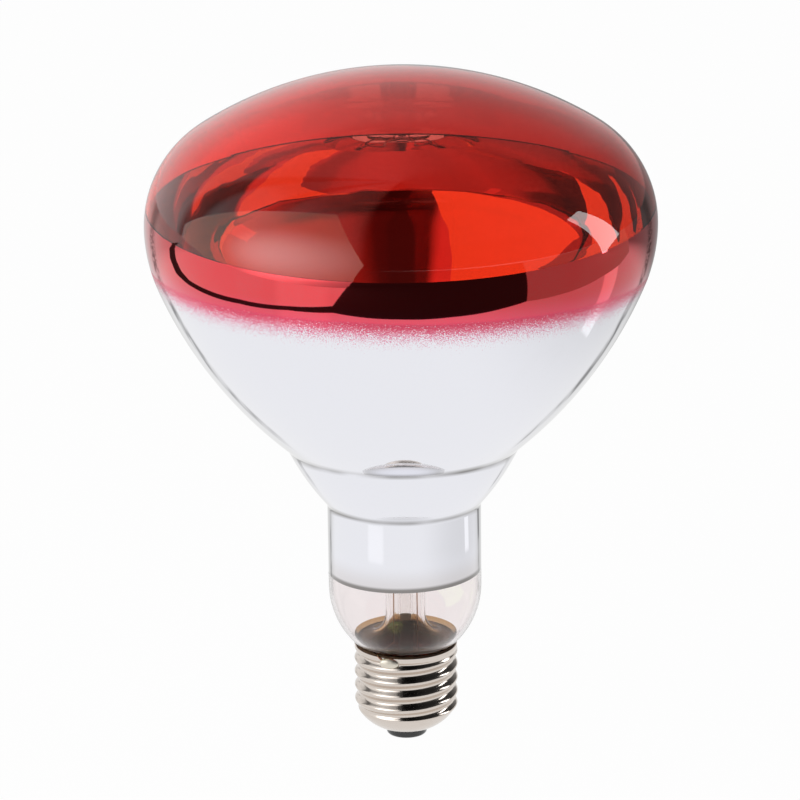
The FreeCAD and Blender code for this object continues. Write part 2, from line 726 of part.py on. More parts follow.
wire_clear = lamp.outer_wire + lamp.wire_gap
wire_inside = collar_radius - lamp.shell_wall - wire_clear
wire_outside = collar_radius + wire_clear
solder_middle = lamp.cap_height - lamp.side_solder_height / 2 - lamp.side_solder_drop


def lead_angle(share):
    """An angle on the way from the rim crossing of the lead to the side solder."""
    return lamp.shell_lead_angle + (lamp.solder_angle - lamp.shell_lead_angle) * share


rim_places = [
    FreeCAD.Vector(number(left_side), 0, number(tube_top)),
    FreeCAD.Vector(number(left_side), 0, number(seal_height - wire_clear)),
    at(wire_inside, lead_angle(0.0), seal_height - wire_clear),
    at(wire_inside, lead_angle(0.0), lamp.cap_height),
    at(collar_radius - lamp.shell_wall / 2, lead_angle(0.0), lamp.cap_height + wire_clear + lamp.wire_gap),
    at(wire_outside, lead_angle(0.2), lamp.cap_height),
    at(wire_outside, lead_angle(0.7), solder_middle),
]
shell_lead = bent_wire(rim_places, lamp.outer_wire, lamp.rim_bend_radius)
shape_part("outer_lead_shell", shell_lead)

# Side solder: a flat blob on the shell that covers the end of the lead
stretch = FreeCAD.Matrix()
stretch.scale(
    number(lamp.side_solder_depth), number(lamp.side_solder_width / 2), number(lamp.side_solder_height / 2)
)
blob = Part.makeSphere(1.0).transformGeometry(stretch)
blob.Placement = FreeCAD.Placement(
    at(collar_radius, lamp.solder_angle, solder_middle),
    FreeCAD.Rotation(FreeCAD.Vector(0, 0, 1), number(lamp.solder_angle)),
)
shape_part("side_solder", blob.cut(shell_outside).cut(shell_lead))

# Baking cement: fills the gap between the shell and the glass, round the shell lead
cement_low = seal_height - lamp.cement_depth
cement_high = lamp.cap_height + lamp.cement_rise
cement_inner = glass_at_rim - lamp.cement_width
cement_narrow = lamp.thread_crest - lamp.thread_depth - lamp.shell_wall - lamp.cement_gap
cement_wide = collar_radius - lamp.shell_wall - lamp.cement_gap
cement_body = section_body(
    "CementBody",
    [
        (cement_inner, seal_height),
        (cement_inner, cement_low),
        (cement_narrow, cement_low),
        (cement_narrow, collar_low),
        (cement_wide, collar_low),
        (cement_wide, cement_high),
        (glass_outside(cement_high), cement_high),
        (glass_outside(seal_height), seal_height),
    ],
    {6: (base_curve, -1)},
)
lead_channel = doc.addObject("Part::Feature", "LeadChannel")
lead_channel.Shape = shell_lead
cement = doc.addObject("Part::Cut", "CapCement")
cement.Base = cement_body
cement.Tool = lead_channel
keep(cement, "cap_cement")

# Black glass insulator, moulded into the dome of the shell
inside_curve = lamp.dome_radius - lamp.shell_wall - lamp.insulator_gap
insulator_neck = lamp.dome_hole - lamp.insulator_gap


def dome_drop(across):
    """How far the inside of the dome lies below its centre at a distance from the axis."""
    return root(squared(inside_curve) - squared(across - dome_centre))


turned_part(
    "cap_insulator",
    [
        (lamp.insulator_bore, insulator_bottom),
        (insulator_neck - lamp.insulator_chamfer, insulator_bottom),
        (insulator_neck, insulator_bottom + lamp.insulator_chamfer),
        (insulator_neck, dome_height - dome_drop(insulator_neck)),
        (dome_centre + root(squared(inside_curve) - squared(dome_height - insulator_top)), insulator_top),
        (lamp.insulator_bore, insulator_top),
    ],
    {3: (inside_curve, 1)},
)

# Centre contact with its solder
turned_part(
    "contact_plate",
    [
        (wire_clear, contact_low),
        (lamp.contact_radius, contact_low),
        (lamp.contact_radius, contact_top),
        (wire_clear, contact_top),
    ],
)
turned_part(
    "contact_solder",
    [(0, 0), (lamp.solder_flat, 0), (lamp.solder_radius, contact_low), (0, contact_low)],
    {1: (lamp.solder_round, 1)},
)

doc.recompute()

for item in doc.Objects:
    if "Invalid" in item.State or "Error" in item.State:
        raise ValueError(f"{item.Label} did not build: {item.State}")
for piece in sub_parts:
    if piece.Shape.isNull() or not piece.Shape.isValid():
        raise ValueError(f"{piece.Label} has no sound shape")
    print(piece.Label, "volume", round(piece.Shape.Volume, 2), "solids", len(piece.Shape.Solids))

os.makedirs("parts", exist_ok=True)
for piece in sub_parts:
    piece.Shape.exportStep(f"parts/{piece.Label}.step")
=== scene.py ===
"""Infrared heat lamp bulb with a red lens, a silvered reflector and a screw cap.

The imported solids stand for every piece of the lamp. This script gives the blown glass,
the stem, the filament and the cap meshes of their own, dresses every surface and sets
the lamp in a white studio. Sizes are in millimetres and angles in degrees, and meshes
are written in metres.
"""

from __future__ import annotations

import json
import logging
import math
from dataclasses import dataclass
from enum import Enum

import bpy
from mathutils import Matrix, Vector

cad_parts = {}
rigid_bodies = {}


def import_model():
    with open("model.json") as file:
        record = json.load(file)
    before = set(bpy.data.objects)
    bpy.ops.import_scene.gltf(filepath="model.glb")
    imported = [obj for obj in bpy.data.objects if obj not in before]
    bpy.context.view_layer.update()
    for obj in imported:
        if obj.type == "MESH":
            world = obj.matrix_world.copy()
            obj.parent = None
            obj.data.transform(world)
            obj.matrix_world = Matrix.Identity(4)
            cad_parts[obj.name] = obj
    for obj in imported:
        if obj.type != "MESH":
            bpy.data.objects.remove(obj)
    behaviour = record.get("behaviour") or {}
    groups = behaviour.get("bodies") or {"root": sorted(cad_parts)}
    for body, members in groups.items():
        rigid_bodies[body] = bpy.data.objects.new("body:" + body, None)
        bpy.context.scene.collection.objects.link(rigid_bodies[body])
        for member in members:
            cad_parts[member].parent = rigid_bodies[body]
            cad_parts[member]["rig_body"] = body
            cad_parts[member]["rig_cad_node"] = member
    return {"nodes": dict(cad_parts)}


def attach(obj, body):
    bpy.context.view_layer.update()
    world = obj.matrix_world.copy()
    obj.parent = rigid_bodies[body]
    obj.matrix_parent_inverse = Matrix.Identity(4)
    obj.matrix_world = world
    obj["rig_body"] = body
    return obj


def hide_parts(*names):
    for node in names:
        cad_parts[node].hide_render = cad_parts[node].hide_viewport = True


LOG = logging.getLogger("heat_lamp")
MM = 0.001

Colour = tuple[float, float, float]
Place = tuple[float, float, float]
Point = tuple[float, float]
Span = tuple[float, float]
Outline = list[Point]
Socket = bpy.types.NodeSocket


class Slot(Enum):
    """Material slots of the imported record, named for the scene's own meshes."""

    BULB_GLASS = "bulb_glass"
    STEM_GLASS = "stem_glass"
    CAP_NICKEL = "cap_nickel"
    CAP_GLASS = "cap_glass"
    CEMENT = "cement"
    SOLDER = "solder"
    TUNGSTEN = "tungsten"


class GlassZone(Enum):
    """Zones of the blown bulb, each with its own finish, by slot number on the mesh."""

    RED_LENS = 0
    SILVER_OUTSIDE = 1
    SILVER_INSIDE = 2
    CLEAR_NECK = 3


# Shader helpers


class ShaderGraph:
    """A short way to add nodes to one node tree and to link them."""

    def __init__(self, tree: bpy.types.NodeTree) -> None:
        """Starts on a node tree.

        Args:
            tree: the tree of a material, a world or a node group.
        """
        self.tree = tree

    def add(self, kind: str, **values: object) -> bpy.types.Node:
        """Adds one node.

        Args:
            kind: the node's type.
            values: attributes of the node, or inputs whose name has its spaces as underscores.

        Returns:
            The new node.
        """
        node = self.tree.nodes.new(kind)
        for name, value in values.items():
            if hasattr(node, name):
                setattr(node, name, value)
            else:
                self.feed(node.inputs[name.replace("_", " ")], value)
        return node

    def feed(self, socket: Socket, value: object) -> None:
        """Links a socket where the value is a socket, and sets it otherwise.

        Args:
            socket: the input.
            value: an output socket, a number or a colour.
        """
        if isinstance(value, Socket):
            self.tree.links.new(value, socket)
        elif isinstance(value, tuple) and len(value) == 3 and socket.type == "RGBA":
            socket.default_value = (*value, 1.0)
        else:
            socket.default_value = value

    def math(self, operation: str, first: object, second: object = 0.0, clamp: bool = False) -> Socket:
        """Adds a Math node.

        Args:
            operation: its operation.
            first: first input.
            second: second input.
            clamp: whether the result is held between 0 and 1.

        Returns:
            The result.
        """
        node = self.add("ShaderNodeMath", operation=operation, use_clamp=clamp)
        self.feed(node.inputs[0], first)
        self.feed(node.inputs[1], second)
        return node.outputs[0]

    def times(self, first: object, second: object, clamp: bool = False) -> Socket:
        """Multiplies two values."""
        return self.math("MULTIPLY", first, second, clamp)

    def plus(self, first: object, second: object) -> Socket:
        """Adds two values."""
        return self.math("ADD", first, second)

    def minus(self, first: object, second: object, clamp: bool = False) -> Socket:
        """Takes the second value from the first."""
        return self.math("SUBTRACT", first, second, clamp)

    def over(self, first: object, second: object) -> Socket:
        """Divides the first value by the second."""
        return self.math("DIVIDE", first, second)

    def away(self, first: object, second: object) -> Socket:
        """How far two values lie apart."""
        return self.math("ABSOLUTE", self.minus(first, second))

    def facing(self) -> Socket:
        """Rises from 0 where the surface faces the eye to 1 where it turns away."""
        return self.add("ShaderNodeLayerWeight", Blend=0.5).outputs["Facing"]

    def mix(self, share: object, first: object, second: object) -> Socket:
        """Mixes two colours.

        Args:
            share: how much of the second one.
            first: first colour.
            second: second colour.

        Returns:
            The mixed colour.
        """
        node = self.add("ShaderNodeMix", data_type="RGBA")
        self.feed(node.inputs[0], share)
        self.feed(node.inputs[6], first)
        self.feed(node.inputs[7], second)
        return node.outputs[2]

    def ramp(self, value: object, low: float, high: float) -> Socket:
        """A smooth step from 0 at low to 1 at high, or back where low is above high.

        Args:
            value: the input.
            low: where the step starts.
            high: where it ends.

        Returns:
            The step.
        """
        node = self.add("ShaderNodeMapRange", interpolation_type="SMOOTHSTEP")
        self.feed(node.inputs["Value"], value)
        node.inputs["From Min"].default_value = low
        node.inputs["From Max"].default_value = high
        return node.outputs["Result"]

    def step(self, value: object, span: Span, start: float = 0.0) -> Socket:
        """A smooth step of a length in metres.

        Args:
            value: the length.
            span: where the step starts and ends, in millimetres.
            start: where the span is counted from, in millimetres.

        Returns:
            The step.
        """
        return self.ramp(value, (start + span[0]) * MM, (start + span[1]) * MM)

    def blend(self, share: object, first: object, second: object) -> Socket:
        """Mixes two numbers.

        Args:
            share: how much of the second one.
            first: first number.
            second: second number.

        Returns:
            The mixed number.
        """
        node = self.add("ShaderNodeMix", data_type="FLOAT")
        self.feed(node.inputs[0], share)
        self.feed(node.inputs[2], first)
        self.feed(node.inputs[3], second)
        return node.outputs[0]

    def ray(self, kind: str) -> Socket:
        """Tells whether the ray is of a kind, such as Camera, Glossy or Transmission."""
        return self.add("ShaderNodeLightPath").outputs[f"Is {kind} Ray"]

    def place(self) -> Socket:
        """Gives the Object coordinates."""
        return self.add("ShaderNodeTexCoord").outputs["Object"]

    def split(self, vector: Socket) -> tuple[Socket, ...]:
        """Splits a vector into X, Y and Z."""
        return tuple(self.add("ShaderNodeSeparateXYZ", Vector=vector).outputs)

    def noise(self, vector: object, scale: float, detail: float = 3.0, rough: float = 0.5) -> Socket:
        """Adds a noise texture.

        Args:
            vector: its coordinates.
            scale: features per metre.
            detail: octaves.
            rough: how strong the fine octaves are.

        Returns:
            The noise, from 0 to 1.
        """
        node = self.add("ShaderNodeTexNoise", Vector=vector, Scale=scale, Detail=detail, Roughness=rough)
        return node.outputs["Fac"]

    def group(self, tree: bpy.types.NodeTree, **values: object) -> bpy.types.Node:
        """Places a node group.

        Args:
            tree: the group.
            values: its inputs by name.

        Returns:
            The group's node.
        """
        node = self.add("ShaderNodeGroup", node_tree=tree)
        for name, value in values.items():
            self.feed(node.inputs[name.replace("_", " ")], value)
        return node


@dataclass(frozen=True)
class Ripple:
    """How uneven a surface is: bumps per metre, their strength and their depth in millimetres."""

    scale: float
    strength: float
    depth: float


@dataclass(frozen=True)
class SharedPatterns:
    """Node groups that more than one finish uses."""

    smudge: bpy.types.NodeTree
    grain: bpy.types.NodeTree

    @staticmethod
    def _group(
        name: str, inputs: dict[str, float], output: str
    ) -> tuple[bpy.types.NodeTree, ShaderGraph, bpy.types.Node, bpy.types.Node]:
        """Opens a node group that reads Object coordinates.

        Args:
            name: its name.
            inputs: its plain inputs with their defaults.
            output: the name of its one output.

        Returns:
            The group, its graph, its input node and its output node.
        """
        tree = bpy.data.node_groups.new(name, "ShaderNodeTree")
        tree.interface.new_socket("Place", in_out="INPUT", socket_type="NodeSocketVector")
        for label, value in inputs.items():
            socket = tree.interface.new_socket(label, in_out="INPUT", socket_type="NodeSocketFloat")
            socket.default_value = value
        tree.interface.new_socket(output, in_out="OUTPUT", socket_type="NodeSocketFloat")
        graph = ShaderGraph(tree)
        return tree, graph, graph.add("NodeGroupInput"), graph.add("NodeGroupOutput")

    @classmethod
    def build(cls) -> SharedPatterns:
        """Makes the groups.

        Returns:
            The groups.
        """
        smudge, graph, given, result = cls._group("Smudge", {"Scale": 40.0, "Cover": 0.5}, "Mask")
        broad = graph.add("ShaderNodeTexNoise", Vector=given.outputs["Place"], Detail=4.0, Roughness=0.6)
        graph.feed(broad.inputs["Scale"], given.outputs["Scale"])
        start = graph.minus(1.0, given.outputs["Cover"])
        lifted = graph.minus(broad.outputs["Fac"], start)
        contrast = 3.0
        graph.feed(result.inputs["Mask"], graph.times(lifted, contrast, clamp=True))

        grain, graph, given, result = cls._group("Grain", {"Scale": 900.0, "Depth": 0.5}, "Height")
        fine = graph.add("ShaderNodeTexNoise", Vector=given.outputs["Place"], Detail=2.0, Roughness=0.7)
        graph.feed(fine.inputs["Scale"], given.outputs["Scale"])
        graph.feed(result.inputs["Height"], graph.times(fine.outputs["Fac"], given.outputs["Depth"]))
        return cls(smudge, grain)

    def blots(self, graph: ShaderGraph, place: Socket, scale: float, cover: float) -> Socket:
        """Patches of grime.

        Args:
            graph: the material's graph.
            place: the Object coordinates.
            scale: patches per metre.
            cover: how much of the surface they cover.

        Returns:
            The mask.
        """
        return graph.group(self.smudge, Place=place, Scale=scale, Cover=cover).outputs["Mask"]

    def uneven(self, graph: ShaderGraph, place: Socket, ripple: Ripple) -> Socket:
        """The normal of an uneven surface.

        Args:
            graph: the material's graph.
            place: the Object coordinates.
            ripple: how uneven it is.

        Returns:
            The normal.
        """
        height = graph.group(self.grain, Place=place, Scale=ripple.scale, Depth=1.0).outputs["Height"]
        bump = graph.add("ShaderNodeBump", Strength=ripple.strength, Height=height)
        graph.feed(bump.inputs["Distance"], ripple.depth * MM)
        return bump.outputs["Normal"]


def new_material(name: str) -> tuple[bpy.types.Material, ShaderGraph, bpy.types.Node]:
    """Opens a material on one Principled shader.

    Args:
        name: its name.

    Returns:
        The material, its graph and its shader.
    """
    material = bpy.data.materials.new(name)
    material.use_nodes = True
    graph = ShaderGraph(material.node_tree)
    return material, graph, material.node_tree.nodes["Principled BSDF"]


def dress(shader: bpy.types.Node, graph: ShaderGraph, **values: object) -> None:
    """Sets inputs of a Principled shader.

    Args:
        shader: the shader.
        graph: the graph it stands in.
        values: its inputs by name, with spaces as underscores.
    """
    for name, value in values.items():
        graph.feed(shader.inputs[name.replace("_", " ")], value)


# Finishes


@dataclass(frozen=True)
class ClearGlass:
    """Clear blown or drawn glass, stained brown below a height where it was heated with the cement, and
    darkened to painted shade towards its outline.
    """

    name: str
    tint: Colour = (0.98, 0.965, 0.955)
    stain: Colour = (0.30, 0.19, 0.11)
    # The rim colour is painted shade, mixed in towards the outline where the surface turns from the eye.
    rim: Colour = (0.22, 0.20, 0.19)
    shine: Colour = (1.0, 0.87, 0.78)
    stain_top: float = 0.0
    stain_fade: float = 0.4
    stain_reach: float = 7.0
    stain_scale: float = 450.0
    rim_shade_span: Span = (0.62, 0.96)
    rim_shade_share: float = 0.6
    index: float = 1.36
    ripple: Ripple = Ripple(55.0, 0.06, 0.4)

    def build(self, patterns: SharedPatterns) -> bpy.types.Material:
        """Makes the material.

        Args:
            patterns: the shared groups.

        Returns:
            The material.
        """
        material, graph, shader = new_material(self.name)
        place = graph.place()
        _, _, up = graph.split(place)
        ragged = graph.minus(graph.noise(place, self.stain_scale, 4.0, 0.7), 0.5)
        level = graph.plus(up, graph.times(ragged, self.stain_reach * MM))
        burnt = graph.step(level, (self.stain_fade, -self.stain_fade), self.stain_top)
        stained = graph.mix(burnt, self.tint, self.stain)
        # Painted shade: the colour darkens to the rim colour towards the outline.
        edge = graph.times(graph.ramp(graph.facing(), *self.rim_shade_span), self.rim_shade_share)
        dress(
            shader, graph, Base_Color=graph.mix(edge, stained, self.rim), Metallic=0.0,
            Specular_Tint=self.shine, Roughness=0.0, IOR=self.index, Transmission_Weight=1.0,
            Normal=patterns.uneven(graph, place, self.ripple),
        )
        return material


@dataclass(frozen=True)
class RedLensGlass:
    """Glass of the lens under its red lacquer."""

    tint: Colour = (0.91, 0.145, 0.115)
    index: float = 1.65
    ripple: Ripple = Ripple(26.0, 0.05, 0.6)

    def build(self, patterns: SharedPatterns) -> bpy.types.Material:
        """Makes the material.

        Args:
            patterns: the shared groups.

        Returns:
            The material.
        """
        material, graph, shader = new_material("red_lens_glass")
        dress(
            shader, graph, Base_Color=self.tint, Metallic=0.0, Roughness=0.0, IOR=self.index,
            Transmission_Weight=1.0, Normal=patterns.uneven(graph, graph.place(), self.ripple),
        )
        return material


@dataclass(frozen=True)
class SilverOutside:
    """Glass over the silver film. The red lacquer runs down over it and ends in fine spray.

    The spans of coat and thick count up from the lacquer's edge in millimetres, those of the warm fade
    and the dark line from the film's low edge, and that of neck from the top of the neck. Those of
    spray and pink are shares of the spray's width. Those of the painted side shade, the painted
    outline shade and sideways go from 0, where the surface faces the eye, to 1, where it turns away.
    The film carries painted shade in its creases, round its outline and down the sides of the neck.
    """

    lacquer_edge: float = 124.3
    lacquer_tilt: float = -1.1
    lacquer_wave: float = 1.2
    coat_span: Span = (-0.6, 0.4)
    thick_span: Span = (-0.5, 4.5)
    spray_width: float = 5.4
    spray_scale: float = 4200.0
    spray_strength: float = 2.6
    spray_span: Span = (1.0, 0.28)
    pink_span: Span = (0.10, 0.80)
    matte_roughness: float = 0.22
    matte_metal_loss: float = 0.25
    matte_coat_loss: float = 0.85
    lacquer_coat_loss: float = 0.25
    coat_index: float = 1.62
    coat_roughness: float = 0.01
    film_low: float = 44.8
    film_tilt: float = 1.0
    film_roughness: float = 0.04
    smear_cover: float = 0.42
    smear_share: float = 0.14
    # The film turns warmer and darker towards its low edge.
    low_edge_warm_span: Span = (7.0, 1.0)
    low_edge_warm_share: float = 0.32
    # A dark line runs along the film's low edge.
    low_edge_dark_span: Span = (1.5, 0.6)
    low_edge_dark_share: float = 0.8
    neck_top: float = 62.7
    neck_span: Span = (0.5, -0.5)
    # Painted shade down the left and right sides of the neck, where the surface turns from the eye.
    side_shade_span: Span = (0.58, 0.90)
    side_shade_share: float = 0.9
    # Painted shade round the film's outline.
    outline_shade_span: Span = (0.74, 1.0)
    outline_shade_share: float = 0.75
    # Painted shade in the creases at these heights, broken by noise and wider towards the outline.
    creases: tuple[float, ...] = (62.9, 77.8)
    crease_width: float = 0.8
    crease_growth: float = 1.1
    crease_contrast: float = 2.4
    crease_gaps: float = 0.75
    crease_sideways: float = 0.55
    sideways_span: Span = (0.30, 0.85)
    wave_scale: float = 60.0
    smear_scale: float = 30.0
    ripple: Ripple = Ripple(30.0, 0.05, 1.0)
    silver: Colour = (0.90, 0.905, 0.965)
    smeared: Colour = (0.62, 0.62, 0.66)
    # Colours of the warmer, darker fade and of the dark line at the film's low edge.
    warm: Colour = (0.56, 0.47, 0.41)
    low_edge_dark: Colour = (0.12, 0.105, 0.09)
    # Colours of the painted shade in the creases and round the outline.
    crease_shade: Colour = (0.12, 0.11, 0.10)
    outline_shade: Colour = (0.10, 0.095, 0.09)
    lacquered: Colour = (0.84, 0.042, 0.055)
    thinned: Colour = (0.86, 0.060, 0.12)
    crimson: Colour = (0.93, 0.080, 0.17)
    pink: Colour = (0.95, 0.24, 0.42)

    @staticmethod
    def _level(graph: ShaderGraph, across: Socket, up: Socket, tilt: float) -> Socket:
        """The height above a plane that leans sideways, in metres.

        Args:
            graph: the material's graph.
            across: the X coordinate.
            up: the Z coordinate.
            tilt: how far the plane leans, in degrees.

        Returns:
            The height.
        """
        return graph.minus(up, graph.times(across, math.tan(math.radians(tilt))))

    def _crease_shade(
        self, graph: ShaderGraph, up: Socket, wave: Socket, sideways: Socket, height: float
    ) -> Socket:
        """The painted shade line in a crease, broken in front and wider towards the outline.

        Args:
            graph: the material's graph.
            up: the Z coordinate.
            wave: a noise that breaks the line.
            sideways: rises towards the outline.
            height: the height of the crease.

        Returns:
            How dark it is.
        """
        patchy = graph.minus(graph.times(wave, self.crease_contrast), self.crease_gaps)
        patchy = graph.plus(patchy, graph.times(sideways, self.crease_sideways))
        wide = graph.plus(self.crease_width * MM, graph.times(sideways, self.crease_growth * MM))
        near = graph.minus(1.0, graph.over(graph.away(up, height * MM), wide), clamp=True)
        return graph.times(near, patchy, clamp=True)

    def _film(self, graph: ShaderGraph, patterns: SharedPatterns, place: Socket, wave: Socket) -> Socket:
        """The colour of the film, with painted shade in the creases, round its outline and down the sides of
        the neck, and darker at its low edge.

        Args:
            graph: the material's graph.
            patterns: the shared groups.
            place: the Object coordinates.
            wave: a broad noise.

        Returns:
            The colour.
        """
        across, _, up = graph.split(place)
        level = self._level(graph, across, up, self.film_tilt)
        smear = patterns.blots(graph, place, self.smear_scale, self.smear_cover)
        colour = graph.mix(graph.times(smear, self.smear_share), self.silver, self.smeared)
        # Warmer and darker towards the film's low edge, then a dark line at the edge.
        for span, share, tone in (
            (self.low_edge_warm_span, self.low_edge_warm_share, self.warm), (self.low_edge_dark_span, self.low_edge_dark_share, self.low_edge_dark)
        ):
            near_end = graph.step(level, span, self.film_low)
            colour = graph.mix(graph.times(near_end, share), colour, tone)
        facing = graph.facing()
        sideways = graph.ramp(facing, *self.sideways_span)
        # Painted shade in each crease.
        for height in self.creases:
            colour = graph.mix(self._crease_shade(graph, up, wave, sideways, height), colour, self.crease_shade)
        # Painted shade round the outline and down the neck's sides.
        outline = graph.times(graph.ramp(facing, *self.outline_shade_span), self.outline_shade_share)
        neck = graph.step(up, self.neck_span, self.neck_top)
        side = graph.times(graph.times(graph.ramp(facing, *self.side_shade_span), self.side_shade_share), neck)
        return graph.mix(graph.math("MAXIMUM", outline, side), colour, self.outline_shade)

    def build(self, patterns: SharedPatterns) -> bpy.types.Material:
        """Makes the material.

        Args:
            patterns: the shared groups.

        Returns:
            The material.
        """
        material, graph, shader = new_material("silver_outside")
        place = graph.place()
        across, _, up = graph.split(place)
        edge = self.lacquer_edge
        wave = graph.noise(place, self.wave_scale, 2.0)
        wavy = graph.times(graph.minus(wave, 0.5), self.lacquer_wave * MM)
        level = graph.plus(self._level(graph, across, up, self.lacquer_tilt), wavy)
        coated = graph.step(level, self.coat_span, edge)
        share = graph.over(graph.minus(edge * MM, level), self.spray_width * MM)
        speck = graph.minus(graph.noise(place, self.spray_scale, 1.0, 0.6), 0.5)
        sprayed = graph.plus(share, graph.times(speck, self.spray_strength))
        spray = graph.ramp(sprayed, *self.spray_span)
        hue = graph.mix(graph.ramp(share, *self.pink_span), self.crimson, self.pink)
        thick = graph.step(level, self.thick_span, edge)
        lacquer = graph.mix(thick, self.thinned, self.lacquered)
        # The film's colour carries painted shade in its creases, round its outline and down the neck's
        # sides.
        film = self._film(graph, patterns, place, wave)
        matte = graph.times(spray, graph.minus(1.0, coated))
        gloss = graph.minus(1.0, graph.times(matte, self.matte_coat_loss))
        gloss = graph.minus(gloss, graph.times(coated, self.lacquer_coat_loss))
        dress(
            shader, graph, Base_Color=graph.mix(coated, graph.mix(spray, film, hue), lacquer),
            Metallic=graph.minus(1.0, graph.times(matte, self.matte_metal_loss)),
            Roughness=graph.plus(graph.times(matte, self.matte_roughness), self.film_roughness),
            Coat_Weight=gloss, Coat_IOR=self.coat_index, Coat_Roughness=self.coat_roughness,
            Normal=patterns.uneven(graph, place, self.ripple),
        )
        return material


@dataclass(frozen=True)
class SilverInside:
    """Mirror film inside the reflector."""

    silver: Colour = (0.90, 0.89, 0.88)
    smeared: Colour = (0.6, 0.58, 0.56)
    smear_scale: float = 60.0
    smear_cover: float = 0.35
    smear_share: float = 0.15
    roughness: float = 0.02
    ripple: Ripple = Ripple(32.0, 0.35, 1.0)

    def build(self, patterns: SharedPatterns) -> bpy.types.Material:
        """Makes the material.

        Args:
            patterns: the shared groups.

        Returns:
            The material.
        """
        material, graph, shader = new_material("silver_inside")
        place = graph.place()
        smear = patterns.blots(graph, place, self.smear_scale, self.smear_cover)
        colour = graph.mix(graph.times(smear, self.smear_share), self.silver, self.smeared)
        dress(
            shader, graph, Base_Color=colour, Metallic=1.0, Roughness=self.roughness,
            Normal=patterns.uneven(graph, place, self.ripple),
        )
        return material


@dataclass(frozen=True)
class WornMetal:
    """Drawn, rolled or soldered metal with grime in its marks."""

    name: str
    colour: Colour
    grime: Colour = (0.2, 0.15, 0.11)
    roughness: float = 0.2
    grime_cover: float = 0.4
    grime_share: float = 0.4
    grime_roughness: float = 0.45
    mark_scale: float = 120.0
    scratch_scale: float = 720.0
    bump: float = 0.15
    bump_scale: float = 960.0
    bump_depth: float = 0.1

    def build(self, patterns: SharedPatterns) -> bpy.types.Material:
        """Makes the material.

        Args:
            patterns: the shared groups.

        Returns:
            The material.
        """
        material, graph, shader = new_material(self.name)
        place = graph.place()
        broad = patterns.blots(graph, place, self.mark_scale, self.grime_cover)
        fine = patterns.blots(graph, place, self.scratch_scale, self.grime_cover)
        dirty = graph.times(graph.plus(broad, fine), self.grime_share * 0.5, clamp=True)
        dress(
            shader, graph, Base_Color=graph.mix(dirty, self.colour, self.grime), Metallic=1.0,
            Roughness=graph.plus(graph.times(dirty, self.grime_roughness), self.roughness),
            Normal=patterns.uneven(graph, place, Ripple(self.bump_scale, self.bump, self.bump_depth)),
        )
        return material


@dataclass(frozen=True)
class BakedCement:
    """Brown cement with crumbs and pale dust."""

    dark: Colour = (0.055, 0.028, 0.014)
    light: Colour = (0.13, 0.070, 0.036)
    dust: Colour = (0.30, 0.21, 0.14)
    crumb_scale: float = 420.0
    crumb_span: Span = (0.35, 0.68)
    dust_scale: float = 900.0
    dust_cover: float = 0.32
    roughness: float = 0.9
    pits: Ripple = Ripple(700.0, 0.9, 0.4)

    def build(self, patterns: SharedPatterns) -> bpy.types.Material:
        """Makes the material.

        Args:
            patterns: the shared groups.

        Returns:
            The material.
        """
        material, graph, shader = new_material("baked_cement")
        place = graph.place()
        crumbs = graph.ramp(graph.noise(place, self.crumb_scale, 4.0, 0.65), *self.crumb_span)
        dusty = patterns.blots(graph, place, self.dust_scale, self.dust_cover)
        dress(
            shader, graph, Base_Color=graph.mix(dusty, graph.mix(crumbs, self.dark, self.light), self.dust),
            Roughness=self.roughness, Normal=patterns.uneven(graph, place, self.pits),
        )
        return material


@dataclass(frozen=True)
class BlackGlass:
    """Moulded black glass with fine dust."""

    colour: Colour = (0.012, 0.012, 0.014)
    dust: Colour = (0.12, 0.11, 0.10)
    dust_scale: float = 500.0
    dust_cover: float = 0.36
    dust_share: float = 0.5
    dust_roughness: float = 0.4
    roughness: float = 0.12
    coat: float = 0.5
    ripple: Ripple = Ripple(350.0, 0.15, 0.3)

    def build(self, patterns: SharedPatterns) -> bpy.types.Material:
        """Makes the material.

        Args:
            patterns: the shared groups.

        Returns:
            The material.
        """
        material, graph, shader = new_material("black_glass")
        place = graph.place()
        dusty = patterns.blots(graph, place, self.dust_scale, self.dust_cover)
        dress(
            shader, graph, Base_Color=graph.mix(graph.times(dusty, self.dust_share), self.colour, self.dust),
            Roughness=graph.plus(graph.times(dusty, self.dust_roughness), self.roughness),
            Coat_Weight=self.coat, Normal=patterns.uneven(graph, place, self.ripple),
        )
        return material


METALS = (
    WornMetal("rolled_nickel", (0.72, 0.65, 0.59), (0.26, 0.16, 0.10), roughness=0.14, grime_share=0.45),
    WornMetal("stained_inside", (0.22, 0.13, 0.07), (0.06, 0.03, 0.015), roughness=0.5, grime_share=0.9),
    WornMetal("dull_solder", (0.62, 0.63, 0.61), (0.30, 0.29, 0.27), roughness=0.38, bump=0.5),
    WornMetal("tinned_patch", (0.80, 0.74, 0.64), (0.52, 0.42, 0.32), roughness=0.42, bump=0.6),
    WornMetal("copper_wire", (0.42, 0.20, 0.12), (0.08, 0.04, 0.03), roughness=0.35),
    WornMetal("nickel_wire", (0.66, 0.64, 0.60), roughness=0.25),
    WornMetal("tungsten", (0.36, 0.36, 0.38), roughness=0.35),
    WornMetal("contact_brass", (0.76, 0.62, 0.36), roughness=0.3),
)

# Solids that stay as they are, by the start of their name, with their metal.
KEPT_SOLIDS = {
    "outer_lead": "copper_wire", "seal_wire": "copper_wire", "inner_lead": "nickel_wire",
    "filament_support": "nickel_wire", "contact_plate": "contact_brass",
}


# Modelling helpers


